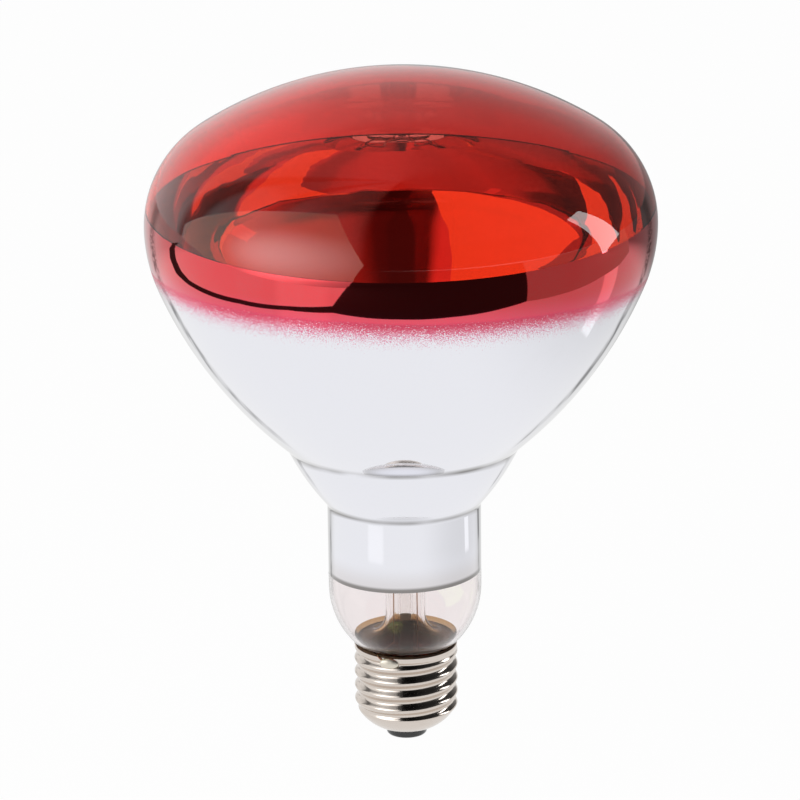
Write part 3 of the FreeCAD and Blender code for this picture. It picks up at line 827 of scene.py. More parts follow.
def begin(name: str) -> bpy.types.Object:
    """Starts a piece as one vertex in edit mode.

    Args:
        name: the piece's name.

    Returns:
        The new object, in edit mode, with its one vertex selected.
    """
    bpy.ops.object.select_all(action="DESELECT")
    bpy.ops.mesh.primitive_plane_add(size=MM, location=(0.0, 0.0, 0.0))
    piece = bpy.context.object
    piece.name = name
    piece.data.name = name
    bpy.ops.object.mode_set(mode="EDIT")
    bpy.ops.mesh.select_all(action="SELECT")
    bpy.ops.mesh.merge(type="CENTER")
    return piece


def trace(outline: Outline) -> None:
    """Moves the one vertex to the start of an outline and extrudes it along the rest.

    Args:
        outline: distances from the axis and heights in millimetres.
    """
    last = (0.0, 0.0)
    for count, (across, up) in enumerate(outline):
        step = ((across - last[0]) * MM, 0.0, (up - last[1]) * MM)
        if count == 0:
            bpy.ops.transform.translate(value=step)
        else:
            bpy.ops.mesh.extrude_region_move(TRANSFORM_OT_translate={"value": step})
        last = (across, up)


def finish_mesh(piece: bpy.types.Object, smooth_angle: float, weld: float = 0.004) -> None:
    """Welds doubles, turns the faces outwards, leaves edit mode and smooths.

    Args:
        piece: the piece, in edit mode.
        smooth_angle: edges sharper than this stay sharp.
        weld: distance within which vertices merge, in millimetres.
    """
    bpy.ops.mesh.select_all(action="SELECT")
    bpy.ops.mesh.remove_doubles(threshold=weld * MM)
    bpy.ops.mesh.dissolve_degenerate(threshold=0.0001 * MM)
    bpy.ops.mesh.select_all(action="SELECT")
    bpy.ops.mesh.normals_make_consistent(inside=False)
    bpy.ops.object.mode_set(mode="OBJECT")
    bpy.ops.object.shade_smooth_by_angle(angle=math.radians(smooth_angle))
    LOG.info("%s: %d faces", piece.name, len(piece.data.polygons))


def turned(
    name: str, outline: Outline, steps: int, closed: bool, smooth_angle: float
) -> bpy.types.Object:
    """Spins an outline round the axis of the lamp.

    Args:
        name: the piece's name.
        outline: distances from the axis and heights in millimetres.
        steps: divisions of the turn.
        closed: whether the outline runs back to its start.
        smooth_angle: edges sharper than this stay sharp.

    Returns:
        The piece, out of edit mode.
    """
    piece = begin(name)
    trace(outline + outline[:1] if closed else outline)
    bpy.ops.mesh.select_all(action="SELECT")
    bpy.ops.mesh.spin(steps=steps, angle=math.tau, center=(0.0, 0.0, 0.0), axis=(0.0, 0.0, 1.0))
    finish_mesh(piece, smooth_angle)
    return piece


@dataclass(frozen=True)
class Ring:
    """One ring of a stacked skin, in millimetres."""

    across: float
    deep: float
    height: float
    centre: Point = (0.0, 0.0)


def stacked(
    name: str, rings: list[Ring], sides: int, closed: bool, smooth_angle: float
) -> bpy.types.Object:
    """Extrudes a circle from ring to ring.

    Args:
        name: the piece's name.
        rings: the rings in order.
        sides: vertices in a ring.
        closed: whether the last ring runs back to the first one, and otherwise both get a face.
        smooth_angle: edges sharper than this stay sharp.

    Returns:
        The piece, out of edit mode.
    """
    bpy.ops.object.select_all(action="DESELECT")
    bpy.ops.mesh.primitive_circle_add(
        vertices=sides, radius=MM, fill_type="NOTHING" if closed else "NGON", location=(0.0, 0.0, 0.0)
    )
    piece = bpy.context.object
    piece.name = name
    piece.data.name = name
    bpy.ops.object.mode_set(mode="EDIT")
    bpy.ops.mesh.select_all(action="SELECT")
    last = Ring(1.0, 1.0, 0.0)
    for count, ring in enumerate(rings + rings[:1] if closed else rings):
        middle = (last.centre[0] * MM, last.centre[1] * MM, last.height * MM)
        step = tuple(
            (new - old) * MM
            for new, old in zip((*ring.centre, ring.height), (*last.centre, last.height))
        )
        if count > 0:
            bpy.ops.mesh.extrude_region_move(TRANSFORM_OT_translate={"value": (0.0, 0.0, 0.0)})
        bpy.ops.transform.resize(
            value=(ring.across / last.across, ring.deep / last.deep, 1.0), center_override=middle
        )
        bpy.ops.transform.translate(value=step)
        last = ring
    finish_mesh(piece, smooth_angle)
    return piece


def arc_points(centre: Vector, radius: float, first: float, last: float, spacing: float) -> Outline:
    """Points along an arc of an outline, with both ends.

    Args:
        centre: its centre, as distance from the axis and height.
        radius: its radius.
        first: its first angle in radians.
        last: its last angle in radians.
        spacing: the largest step along the arc.

    Returns:
        The points.
    """
    count = max(2, math.ceil(abs(last - first) * radius / spacing))
    turns = [first + (last - first) * step / count for step in range(count + 1)]
    return [(centre.x + radius * math.cos(turn), centre.y + radius * math.sin(turn)) for turn in turns]


def angle_of(centre: Vector, point: Vector) -> float:
    """The direction from a centre to a point, in radians."""
    way = point - centre
    return math.atan2(way.y, way.x)


def circles_meet(centre_a: Vector, radius_a: float, centre_b: Vector, radius_b: float, side: int) -> Vector:
    """Where two circles meet.

    Args:
        centre_a: centre of the first.
        radius_a: its radius.
        centre_b: centre of the second.
        radius_b: its radius.
        side: 1 for the point on the left of the way from a to b, -1 for the right.

    Returns:
        The point.
    """
    way = centre_b - centre_a
    along = (radius_a ** 2 - radius_b ** 2 + way.length_squared) / (2 * way.length)
    across = math.sqrt(radius_a ** 2 - along ** 2)
    unit = way.normalized()
    return centre_a + unit * along + Vector((-unit.y, unit.x)) * across * side


def make_active(piece: bpy.types.Object) -> None:
    """Selects one piece and nothing else.

    Args:
        piece: the piece.
    """
    bpy.ops.object.select_all(action="DESELECT")
    piece.select_set(True)
    bpy.context.view_layer.objects.active = piece


def put_finish(piece: bpy.types.Object, finish: bpy.types.Material) -> None:
    """Gives a piece one finish in place of those it has.

    Args:
        piece: the piece.
        finish: the finish.
    """
    piece.data.materials.clear()
    piece.data.materials.append(finish)


def hand_over(piece: bpy.types.Object, slot: Slot, *nodes: str) -> None:
    """Lets a piece ride on the lamp and stand for its solids.

    Args:
        piece: the piece.
        slot: the record's slot; not used.
        nodes: the solids it stands for.
    """
    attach(piece, "root")
    if nodes:
        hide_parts(*nodes)


# Sub-assemblies


@dataclass
class GlassBulb:
    """The blown bulb: lens, reflector, bulge, neck and rounded base."""

    height: float = 171.3
    radius: float = 62.5
    lens_rise: float = 37.4
    shoulder_radius: float = 27.4
    lens_lower_radius: float = 37.6
    reflector_radius: float = 109.1
    waist: Point = (29.2, 78.0)
    waist_fillet: float = 2.0
    bulge_radius: float = 62.7
    neck_radius: float = 19.25
    neck_top: float = 62.7
    neck_bottom: float = 40.7
    neck_fillet: float = 2.0
    wall: float = 0.9
    cap_height: float = 25.0
    rim_radius: float = 12.05
    seal_height: float = 24.6
    film_top: float = 139.4
    film_top_tilt: float = 4.8
    film_setback: float = 0.35
    film_low: float = 44.8
    film_low_tilt: float = 1.0
    wide_spacing: float = 2.4
    spacing: float = 1.6
    base_spacing: float = 1.2
    fillet_spacing: float = 0.35
    neck_spacing: float = 3.5
    neck_rows: tuple[int, ...] = (4, 3, 2, 1)
    steps: int = 192
    smooth_angle: float = 60.0

    def __post_init__(self) -> None:
        """Works out the centres of the arcs of the outline."""
        rise = self.lens_rise
        shoulder = self.shoulder_radius
        equator = self.height - rise
        across = self.radius ** 2 - 2 * shoulder * self.radius
        self.crown_radius = (rise ** 2 + across) / (2 * (rise - shoulder))
        self.crown = Vector((0.0, self.height - self.crown_radius))
        self.shoulder = Vector((self.radius - shoulder, equator))
        self.lens = Vector((self.radius - self.lens_lower_radius, equator))
        waist_point = Vector(self.waist)
        self.reflector = circles_meet(
            self.lens, self.reflector_radius - self.lens_lower_radius, waist_point, self.reflector_radius, -1
        )
        neck_point = Vector((self.neck_radius, self.neck_top))
        self.bulge = circles_meet(waist_point, self.bulge_radius, neck_point, self.bulge_radius, -1)
        self.crease = circles_meet(
            self.reflector, self.reflector_radius + self.waist_fillet,
            self.bulge, self.bulge_radius + self.waist_fillet, 1,
        )
        bend_across = self.neck_radius + self.neck_fillet
        reach = self.bulge_radius + self.neck_fillet
        drop = math.sqrt(reach ** 2 - (bend_across - self.bulge.x) ** 2)
        self.bend = Vector((bend_across, self.bulge.y - drop))
        step = self.neck_radius - self.rim_radius
        base_height = self.neck_bottom - self.cap_height
        self.base_radius = (step ** 2 + base_height ** 2) / (2 * step)
        self.base = Vector((self.neck_radius - self.base_radius, self.neck_bottom))

    def side(self, inset: float) -> Outline:
        """One side of the wall from the crown down to the seal.

        Args:
            inset: how far the side lies inside the outer one.

        Returns:
            Its points.
        """
        shoulder_turn = angle_of(self.crown, self.shoulder)
        lens_turn = angle_of(self.reflector, self.lens)
        crease_turn = angle_of(self.reflector, self.crease)
        bulge_first = angle_of(self.bulge, self.crease)
        bulge_last = angle_of(self.bulge, self.bend)
        base_last = -math.asin((self.neck_bottom - self.seal_height) / (self.base_radius - inset))
        neck = self.neck_radius - inset
        wide, fine, fillet = self.wide_spacing, self.spacing, self.fillet_spacing
        runs = [
            arc_points(self.crown, self.crown_radius - inset, math.pi / 2, shoulder_turn, wide),
            arc_points(self.shoulder, self.shoulder_radius - inset, shoulder_turn, 0.0, fine),
            arc_points(self.lens, self.lens_lower_radius - inset, 0.0, lens_turn, fine),
            arc_points(self.reflector, self.reflector_radius - inset, lens_turn, crease_turn, wide),
            arc_points(
                self.crease, self.waist_fillet + inset,
                crease_turn + math.pi, bulge_first + math.pi, fillet,
            ),
            arc_points(self.bulge, self.bulge_radius - inset, bulge_first, bulge_last, fine),
            arc_points(self.bend, self.neck_fillet + inset, bulge_last + math.pi, math.pi, fillet),
            [(neck, self.neck_bottom + row * self.neck_spacing) for row in self.neck_rows],
            arc_points(self.base, self.base_radius - inset, 0.0, base_last, self.base_spacing),
        ]
        points = list(runs[0])
        for run in runs[1:]:
            points += run if math.dist(points[-1], run[0]) > 0.01 else run[1:]
        return points

    def build(self, patterns: SharedPatterns) -> bpy.types.Object:
        """Makes the bulb.

        Args:
            patterns: the shared groups.

        Returns:
            The bulb.
        """
        outer = self.side(0.0)
        inner = self.side(self.wall)
        outer[0] = (0.0, outer[0][1])
        inner[0] = (0.0, inner[0][1])
        piece = turned("blown_bulb", outer + inner[::-1], self.steps, False, self.smooth_angle)
        self._cut_zones(piece)
        for finish in (
            RedLensGlass(), SilverOutside(film_low=self.film_low, film_tilt=self.film_low_tilt),
            SilverInside(), ClearGlass("clear_neck_glass", tint=(0.985, 0.945, 0.945)),
        ):
            piece.data.materials.append(finish.build(patterns))
        self._choose_zones(piece)
        hand_over(piece, Slot.BULB_GLASS, "glass_bulb")
        return piece

    def _film_ends(self) -> list[tuple[Vector, Vector]]:
        """The leaning planes in which the film ends: top outside, low end, top inside.

        Returns:
            A point of each plane, in metres, and its normal.
        """
        back, side = math.radians(self.film_top_tilt), math.radians(self.film_low_tilt)
        leaning_back = Vector((0.0, -math.sin(back), math.cos(back)))
        leaning_aside = Vector((-math.sin(side), 0.0, math.cos(side)))
        ends = (
            (self.film_top, leaning_back), (self.film_low, leaning_aside),
            (self.film_top - self.film_setback, leaning_back),
        )
        return [(Vector((0.0, 0.0, height * MM)), normal) for height, normal in ends]

    def _cut_zones(self, piece: bpy.types.Object) -> None:
        """Cuts the faces along the edges of the film.

        Args:
            piece: the bulb.
        """
        make_active(piece)
        bpy.ops.object.mode_set(mode="EDIT")
        for spot, normal in self._film_ends():
            bpy.ops.mesh.select_all(action="SELECT")
            bpy.ops.mesh.bisect(plane_co=spot, plane_no=normal)
        bpy.ops.object.mode_set(mode="OBJECT")

    def _choose_zones(self, piece: bpy.types.Object) -> None:
        """Gives each face the slot of its zone.

        Args:
            piece: the bulb, cut along the edges of the film.
        """
        (top, top_normal), (low, low_normal), (inside, _) = self._film_ends()
        for face in piece.data.polygons:
            outward = Vector((face.center.x, face.center.y, 0.0)).dot(face.normal) > 0.0
            if (face.center - (top if outward else inside)).dot(top_normal) > 0.0:
                zone = GlassZone.RED_LENS
            elif (face.center - low).dot(low_normal) < 0.0:
                zone = GlassZone.CLEAR_NECK
            else:
                zone = GlassZone.SILVER_OUTSIDE if outward else GlassZone.SILVER_INSIDE
            face.material_index = zone.value


@dataclass
class GlassStem:
    """The flared stem with its pinch and press, and the exhaust tube inside it."""

    tube_radius: float = 5.0
    wall: float = 1.0
    flare_top: float = 33.0
    seat_height: float = 27.4
    tube_top: float = 46.0
    pinch_top: float = 50.0
    press_top: float = 58.0
    press_across: float = 6.0
    press_deep: float = 2.2
    exhaust_radius: float = 2.0
    exhaust_wall: float = 0.6
    exhaust_tip: float = 15.0
    edge: float = 0.3
    pinhole: float = 0.02
    roof_drop: float = 0.4
    roof_inset: float = 0.6
    flare_spacing: float = 0.5
    tip_spacing: float = 0.3
    sides: int = 96
    exhaust_sides: int = 64
    smooth_angle: float = 50.0

    def build(self, bulb: GlassBulb, glass: bpy.types.Material) -> list[bpy.types.Object]:
        """Makes the stem and its exhaust tube.

        Args:
            bulb: the bulb that the flare is sealed to.
            glass: the finish.

        Returns:
            The pieces.
        """
        inner_base = bulb.base_radius - bulb.wall
        seat = bulb.base.x + math.sqrt(inner_base ** 2 - (bulb.neck_bottom - self.seat_height) ** 2)
        width = seat - self.tube_radius
        trumpet = (width ** 2 + (self.flare_top - self.seat_height) ** 2) / (2 * width)
        centre = Vector((self.tube_radius + trumpet, self.flare_top))
        seat_turn = -math.acos((seat - centre.x) / trumpet)
        over = arc_points(centre, trumpet, -math.pi, seat_turn, self.flare_spacing)
        under = arc_points(centre, trumpet + self.wall, -math.pi / 2, -math.pi, self.flare_spacing)
        floor = under[0][1]
        lip = bulb.base.x + math.sqrt(inner_base ** 2 - (bulb.neck_bottom - floor) ** 2)
        inner = self.tube_radius - self.wall
        rings = [
            Ring(self.pinhole, self.pinhole, self.press_top),
            Ring(self.press_across - self.edge, self.press_deep - self.edge, self.press_top),
            Ring(self.press_across, self.press_deep, self.press_top - self.edge),
        ]
        for share in (0.0, 0.25, 0.5, 0.75, 1.0):
            eased = share * share * (3 - 2 * share)
            rings.append(Ring(
                self.press_across + (self.tube_radius - self.press_across) * eased,
                self.press_deep + (self.tube_radius - self.press_deep) * eased,
                self.pinch_top + (self.tube_top - self.pinch_top) * share,
            ))
        bell = [*over, (lip, floor), *under, (inner, self.tube_top - self.roof_drop)]
        bell += [(inner - self.roof_inset, self.tube_top), (self.pinhole, self.tube_top)]
        rings += [Ring(across, across, up) for across, up in bell]
        stem = stacked("glass_stem", rings, self.sides, False, self.smooth_angle)
        bore = self.exhaust_radius - self.exhaust_wall
        tip = Vector((0.0, self.exhaust_tip + self.exhaust_radius))
        outline = arc_points(tip, self.exhaust_radius, -math.pi / 2, 0.0, self.tip_spacing)
        outline += [(self.exhaust_radius, self.tube_top), (bore, self.tube_top)]
        outline += arc_points(tip, bore, 0.0, -math.pi / 2, self.tip_spacing)
        outline[0] = (0.0, outline[0][1])
        outline[-1] = (0.0, outline[-1][1])
        tube = turned("exhaust_glass", outline, self.exhaust_sides, False, self.smooth_angle)
        for piece, node in ((stem, "stem_flare"), (tube, "exhaust_tube")):
            put_finish(piece, glass)
            hand_over(piece, Slot.STEM_GLASS, node)
        return [stem, tube]


@dataclass
class Filament:
    """The ring of coiled tungsten wire, open between the two leads."""

    height: float = 81.0
    ring_radius: float = 11.0
    coil_radius: float = 0.66
    wire_radius: float = 0.13
    gap_angle: float = 60.0
    turns: int = 120
    points_per_turn: int = 12

    def build(self, tungsten: bpy.types.Material) -> bpy.types.Object:
        """Makes the coil as a bevelled curve turned to a mesh.

        Args:
            tungsten: the finish.

        Returns:
            The coil.
        """
        curve = bpy.data.curves.new("filament_coil", "CURVE")
        curve.dimensions = "3D"
        curve.bevel_depth = self.wire_radius * MM
        curve.bevel_resolution = 1
        count = self.turns * self.points_per_turn
        spline = curve.splines.new("POLY")
        spline.points.add(count)
        first = math.radians(self.gap_angle / 2 - 90.0)
        sweep = math.radians(360.0 - self.gap_angle)
        for index, spot in enumerate(spline.points):
            round_ring = first + sweep * index / count
            round_coil = math.tau * index / self.points_per_turn
            across = self.ring_radius + self.coil_radius * math.cos(round_coil)
            spot.co = (
                across * math.cos(round_ring) * MM, across * math.sin(round_ring) * MM,
                (self.height + self.coil_radius * math.sin(round_coil)) * MM, 1.0,
            )
        piece = bpy.data.objects.new("filament_coil", curve)
        bpy.context.scene.collection.objects.link(piece)
        make_active(piece)
        bpy.ops.object.convert(target="MESH")
        piece = bpy.context.object
        bpy.ops.object.shade_smooth()
        put_finish(piece, tungsten)
        LOG.info("%s: %d faces", piece.name, len(piece.data.polygons))
        hand_over(piece, Slot.TUNGSTEN, "filament")
        return piece


@dataclass
class ScrewShell:
    """The rolled shell of the cap. Its thread is a circle whose centre turns round the axis
    once in each pitch."""

    cap_height: float = 25.0
    crest: float = 13.1
    depth: float = 0.97
    pitch: float = 3.629
    thread_start: float = 12.0
    fade: float = 2.2
    rim_fade: float = 1.2
    thread_low: float = 8.0
    wall: float = 0.3
    collar_height: float = 0.9
    collar_setback: float = 0.1
    dome_top: float = 8.6
    dome_power: float = 1.5
    dome_hole: float = 5.2
    bottom: float = 2.5
    inward_share: float = 0.3
    sides: int = 128
    rings_per_turn: int = 14
    dome_steps: int = 18
    collar_shares: tuple[float, ...] = (0.5, 0.9, 1.0)
    smooth_angle: float = 50.0

    def __post_init__(self) -> None:
        """Works out the mean wall and the dome."""
        self.mean = self.crest - self.depth / 2
        self.collar_low = self.cap_height - self.collar_height

    def dome(self, height: float, inset: float) -> float:
        """Radius of the dome at one height.

        Args:
            height: height above the contact.
            inset: how far it lies inside the outer skin.

        Returns:
            The radius.
        """
        drop = (self.dome_top - height) / (self.dome_top - self.bottom - inset)
        held = min(max(drop, 0.0), 1.0)
        width = self.mean - inset - self.dome_hole
        return self.dome_hole + width * (1.0 - held ** self.dome_power) ** (1.0 / self.dome_power)

    def ring(self, height: float, inset: float) -> Ring:
        """The ring of the shell at one height.

        Args:
            height: height above the contact.
            inset: how far it lies inside the outer skin.

        Returns:
            The ring.
        """
        wave = self._eased((height - self.thread_low) / self.fade + 0.5)
        rise = self._eased((height - self.collar_low) / self.rim_fade + 1.0)
        radius = self.mean + (self.crest - self.collar_setback - self.mean) * rise - inset
        if height < self.dome_top:
            radius = self.dome(height, inset)
        offset = self.depth / 2 * wave * (1 - rise)
        turn = math.tau * (height - self.thread_start) / self.pitch
        return Ring(radius, radius, height, (offset * math.cos(turn), offset * math.sin(turn)))

    @staticmethod
    def _eased(share: float) -> float:
        """A smooth step from 0 to 1."""
        held = min(max(share, 0.0), 1.0)
        return held * held * (3 - 2 * held)

    def skin(self, inset: float) -> list[Ring]:
        """The rings of one skin, from the hole in the dome up to the rim.

        Args:
            inset: how far it lies inside the outer skin.

        Returns:
            The rings.
        """
        reach = self.dome_top - self.bottom - inset
        turns = [math.pi / 2 * (1 - step / self.dome_steps) for step in range(self.dome_steps)]
        heights = [self.dome_top - reach * math.sin(turn) ** (2.0 / self.dome_power) for turn in turns]
        span = self.collar_low - self.dome_top
        steps = math.ceil(self.rings_per_turn * span / self.pitch)
        heights += [self.dome_top + span * step / steps for step in range(steps + 1)]
        heights += [self.collar_low + self.collar_height * share for share in self.collar_shares]
        return [self.ring(height, inset) for height in heights]

    def build(self, nickel: bpy.types.Material, stained: bpy.types.Material) -> bpy.types.Object:
        """Makes the shell.

        Args:
            nickel: the finish outside.
            stained: the finish inside.

        Returns:
            The shell.
        """
        rings = self.skin(0.0) + self.skin(self.wall)[::-1]
        piece = stacked("screw_shell", rings, self.sides, True, self.smooth_angle)
        piece.data.materials.append(nickel)
        piece.data.materials.append(stained)
        for face in piece.data.polygons:
            outward = face.center.x * face.normal.x + face.center.y * face.normal.y
            inward = outward < -self.inward_share * face.center.xy.length
            inside = face.center.z > self.bottom * MM and inward
            face.material_index = 1 if inside else 0
        hand_over(piece, Slot.CAP_NICKEL, "cap_shell")
        return piece


@dataclass
class CapFilling:
    """Cement, black glass and the contact with its solder."""

    seal_height: float = 24.6
    cement_low: float = 18.6
    cement_high: float = 25.4
    cement_inner: float = 8.8
    cement_narrow: float = 11.79
    cement_wide: float = 12.66
    collar_low: float = 24.1
    insulator_bottom: float = 0.9
    insulator_top: float = 5.1
    insulator_neck: float = 5.15
    insulator_lip: float = 0.55
    insulator_recess: float = 3.3
    insulator_bore: float = 1.2
    insulator_gap: float = 0.4
    recess_edge: tuple[Point, ...] = ((0.0, 0.1), (0.15, 0.0))
    lip_edge: tuple[Point, ...] = ((-0.55, 0.0), (-0.25, 0.1), (-0.06, 0.32), (0.0, 0.7))
    dome_shares: tuple[float, ...] = (0.02, 0.08, 0.2, 0.4, 0.7, 1.0)
    cement_round: float = 0.15
    cement_drop: float = 0.1
    cement_bite: float = 0.01
    solder_height: float = 0.5
    solder_radius: float = 2.2
    solder_flat: float = 1.1
    solder_round: float = 1.3
    solder_spacing: float = 0.2
    cement_steps: int = 160
    cement_angle: float = 30.0
    insulator_steps: int = 96
    insulator_angle: float = 50.0
    solder_steps: int = 64
    solder_angle: float = 40.0

    def cement(self, bulb: GlassBulb, finish: bpy.types.Material) -> bpy.types.Object:
        """Makes the ring of cement with a crumbly top.

        Args:
            bulb: the bulb that the cement holds.
            finish: the finish.

        Returns:
            The cement.
        """
        def glass(height: float) -> float:
            """Outer radius of the base of the bulb."""
            return bulb.base.x + math.sqrt(bulb.base_radius ** 2 - (bulb.neck_bottom - height) ** 2)

        top = self.cement_high
        middle = (glass(top) + self.cement_wide) / 2
        outline = [
            (self.cement_inner, self.seal_height), (self.cement_inner, self.cement_low),
            (self.cement_narrow, self.cement_low), (self.cement_narrow, self.collar_low),
            (self.cement_wide, self.collar_low), (self.cement_wide, top - self.cement_round),
            (middle, top), (glass(top) + self.cement_bite, top - self.cement_drop),
            (glass(self.seal_height) + self.cement_bite, self.seal_height),
        ]
        piece = turned("baked_cement", outline, self.cement_steps, True, self.cement_angle)
        put_finish(piece, finish)
        hand_over(piece, Slot.CEMENT, "cap_cement")
        return piece

    def insulator(self, shell: ScrewShell, finish: bpy.types.Material) -> bpy.types.Object:
        """Makes the moulded black glass.

        Args:
            shell: the shell it is moulded into.
            finish: the finish.

        Returns:
            The glass.
        """
        low = shell.bottom + self.insulator_gap
        outline = [
            (self.insulator_bore, self.insulator_bottom), (self.insulator_recess, self.insulator_bottom)
        ]
        for start, edge in ((self.insulator_recess, self.recess_edge), (self.insulator_neck, self.lip_edge)):
            outline += [(start + across, self.insulator_lip + up) for across, up in edge]
        outline += [(self.insulator_neck, low)]
        for share in self.dome_shares:
            height = low + (self.insulator_top - low) * share
            outline.append((shell.dome(height, self.insulator_gap), height))
        outline += [(self.insulator_bore, self.insulator_top)]
        piece = turned("black_insulator", outline, self.insulator_steps, True, self.insulator_angle)
        put_finish(piece, finish)
        hand_over(piece, Slot.CAP_GLASS, "cap_insulator")
        return piece

    def solder(self, finish: bpy.types.Material) -> bpy.types.Object:
        """Makes the drop of solder on the centre contact.

        Args:
            finish: the finish.

        Returns:
            The solder.
        """
        flat = Vector((self.solder_flat, 0.0))
        edge = Vector((self.solder_radius, self.solder_height))
        half = (edge - flat) / 2
        lift = math.sqrt(self.solder_round ** 2 - half.length_squared) / half.length
        centre = flat + half + Vector((-half.y, half.x)) * lift
        first, last = angle_of(centre, flat), angle_of(centre, edge)
        outline = [(0.0, 0.0), *arc_points(centre, self.solder_round, first, last, self.solder_spacing)]
        outline += [(0.0, self.solder_height)]
        piece = turned("contact_drop", outline, self.solder_steps, False, self.solder_angle)
        put_finish(piece, finish)
        hand_over(piece, Slot.SOLDER, "contact_solder")
        return piece


@dataclass
class SmoothCopy:
    """A solid kept in shape, merged from its triangles and smoothed."""

    node: str
    slot: Slot
    stretch: tuple[float, float, float] = (1.0, 1.0, 1.0)
    smooth_angle: float = 40.0

    def build(self, solid: bpy.types.Object, finish: bpy.types.Material) -> bpy.types.Object:
        """Makes the copy.

        Args:
            solid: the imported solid.
            finish: the finish.

        Returns:
            The copy.
        """
        piece = solid.copy()
        piece.data = solid.data.copy()
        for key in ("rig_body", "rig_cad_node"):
            if key in piece:
                del piece[key]
        piece.parent = None
        piece.name = f"{self.node}_smooth"
        piece.data.name = piece.name
        bpy.context.scene.collection.objects.link(piece)
        make_active(piece)
        bpy.ops.object.mode_set(mode="EDIT")
        bpy.ops.mesh.select_all(action="SELECT")
        bpy.ops.mesh.remove_doubles(threshold=0.001 * MM)
        corners = [Vector(corner) for corner in piece.bound_box]
        middle = sum(corners, Vector()) / len(corners)
        bpy.ops.transform.resize(value=self.stretch, center_override=middle)
        bpy.ops.object.mode_set(mode="OBJECT")
        bpy.ops.object.shade_smooth_by_angle(angle=math.radians(self.smooth_angle))
        put_finish(piece, finish)
        hand_over(piece, self.slot, self.node)
        return piece


# Studio


def traced_sheet(name: str, places: list[Vector]) -> bpy.types.Object:
    """Traces the outline of a sheet through places in space and fills it.

    Args:
        name: the sheet's name.
        places: the places, in metres.

    Returns:
        The sheet.
    """
    piece = begin(name)
    last = Vector((0.0, 0.0, 0.0))
    for count, spot in enumerate(places):
        if count == 0:
            bpy.ops.transform.translate(value=spot - last)
        else:
            bpy.ops.mesh.extrude_region_move(TRANSFORM_OT_translate={"value": spot - last})
        last = spot
    bpy.ops.mesh.select_all(action="SELECT")
    bpy.ops.mesh.edge_face_add()
    bpy.ops.object.mode_set(mode="OBJECT")
    return piece


def put_on_stage(piece: bpy.types.Object, material: bpy.types.Material) -> bpy.types.Object:
    """Dresses a piece of the studio.

    Args:
        piece: the piece.
        material: its material.

    Returns:
        The same piece.
    """
    put_finish(piece, material)
    return piece


@dataclass(frozen=True)
class LitSheet:
    """A flat lit sheet that the lamp mirrors, with a brighter middle where it has one."""

    name: str
    corners: tuple[Place, ...]
    brightness: float
    near_brightness: float
    near_edge: Span = (-650.0, -250.0)
    hot_brightness: float = 0.0
    hot_place: Point = (-430.0, 190.0)
    hot_spread: Point = (400.0, 260.0)
    refracted: float = 1.32
    refracted_tone: Colour = (1.0, 1.65, 0.7)

    def _mirrored(self, graph: ShaderGraph) -> Socket:
        """How bright the sheet is in a mirror.

        Args:
            graph: the material's graph.

        Returns:
            The brightness.
        """
        across, _, up = graph.split(graph.place())
        aside, above = (
            graph.over(graph.minus(way, centre * MM), spread * MM)
            for way, centre, spread in zip((across, up), self.hot_place, self.hot_spread)
        )
        away = graph.plus(graph.times(aside, aside), graph.times(above, above))
        hot = graph.times(graph.ramp(graph.math("SQRT", away), 1.0, 0.0), self.hot_brightness)
        near = graph.times(graph.step(across, self.near_edge), self.brightness - self.near_brightness)
        return graph.plus(graph.minus(self.brightness, near), hot)

    def build(self) -> bpy.types.Object:
        """Makes the sheet. Its tone shows only to rays that were mirrored on their way through glass.

        Returns:
            The sheet.
        """
        piece = traced_sheet(self.name, [Vector(corner) * MM for corner in self.corners])
        material, graph, shader = new_material(self.name)
        seen = graph.blend(graph.ray("Transmission"), self._mirrored(graph), self.refracted)
        depth = graph.add("ShaderNodeLightPath").outputs["Glossy Depth"]
        bounced = graph.math("GREATER_THAN", depth, 0.5)
        toned = graph.times(graph.ray("Transmission"), bounced)
        dress(
            shader, graph, Base_Color=(0.0, 0.0, 0.0), Roughness=1.0,
            Emission_Color=graph.mix(toned, (1.0, 1.0, 1.0), self.refracted_tone),
            Emission_Strength=graph.blend(graph.ray("Camera"), seen, 1.0),
        )
        return put_on_stage(piece, material)


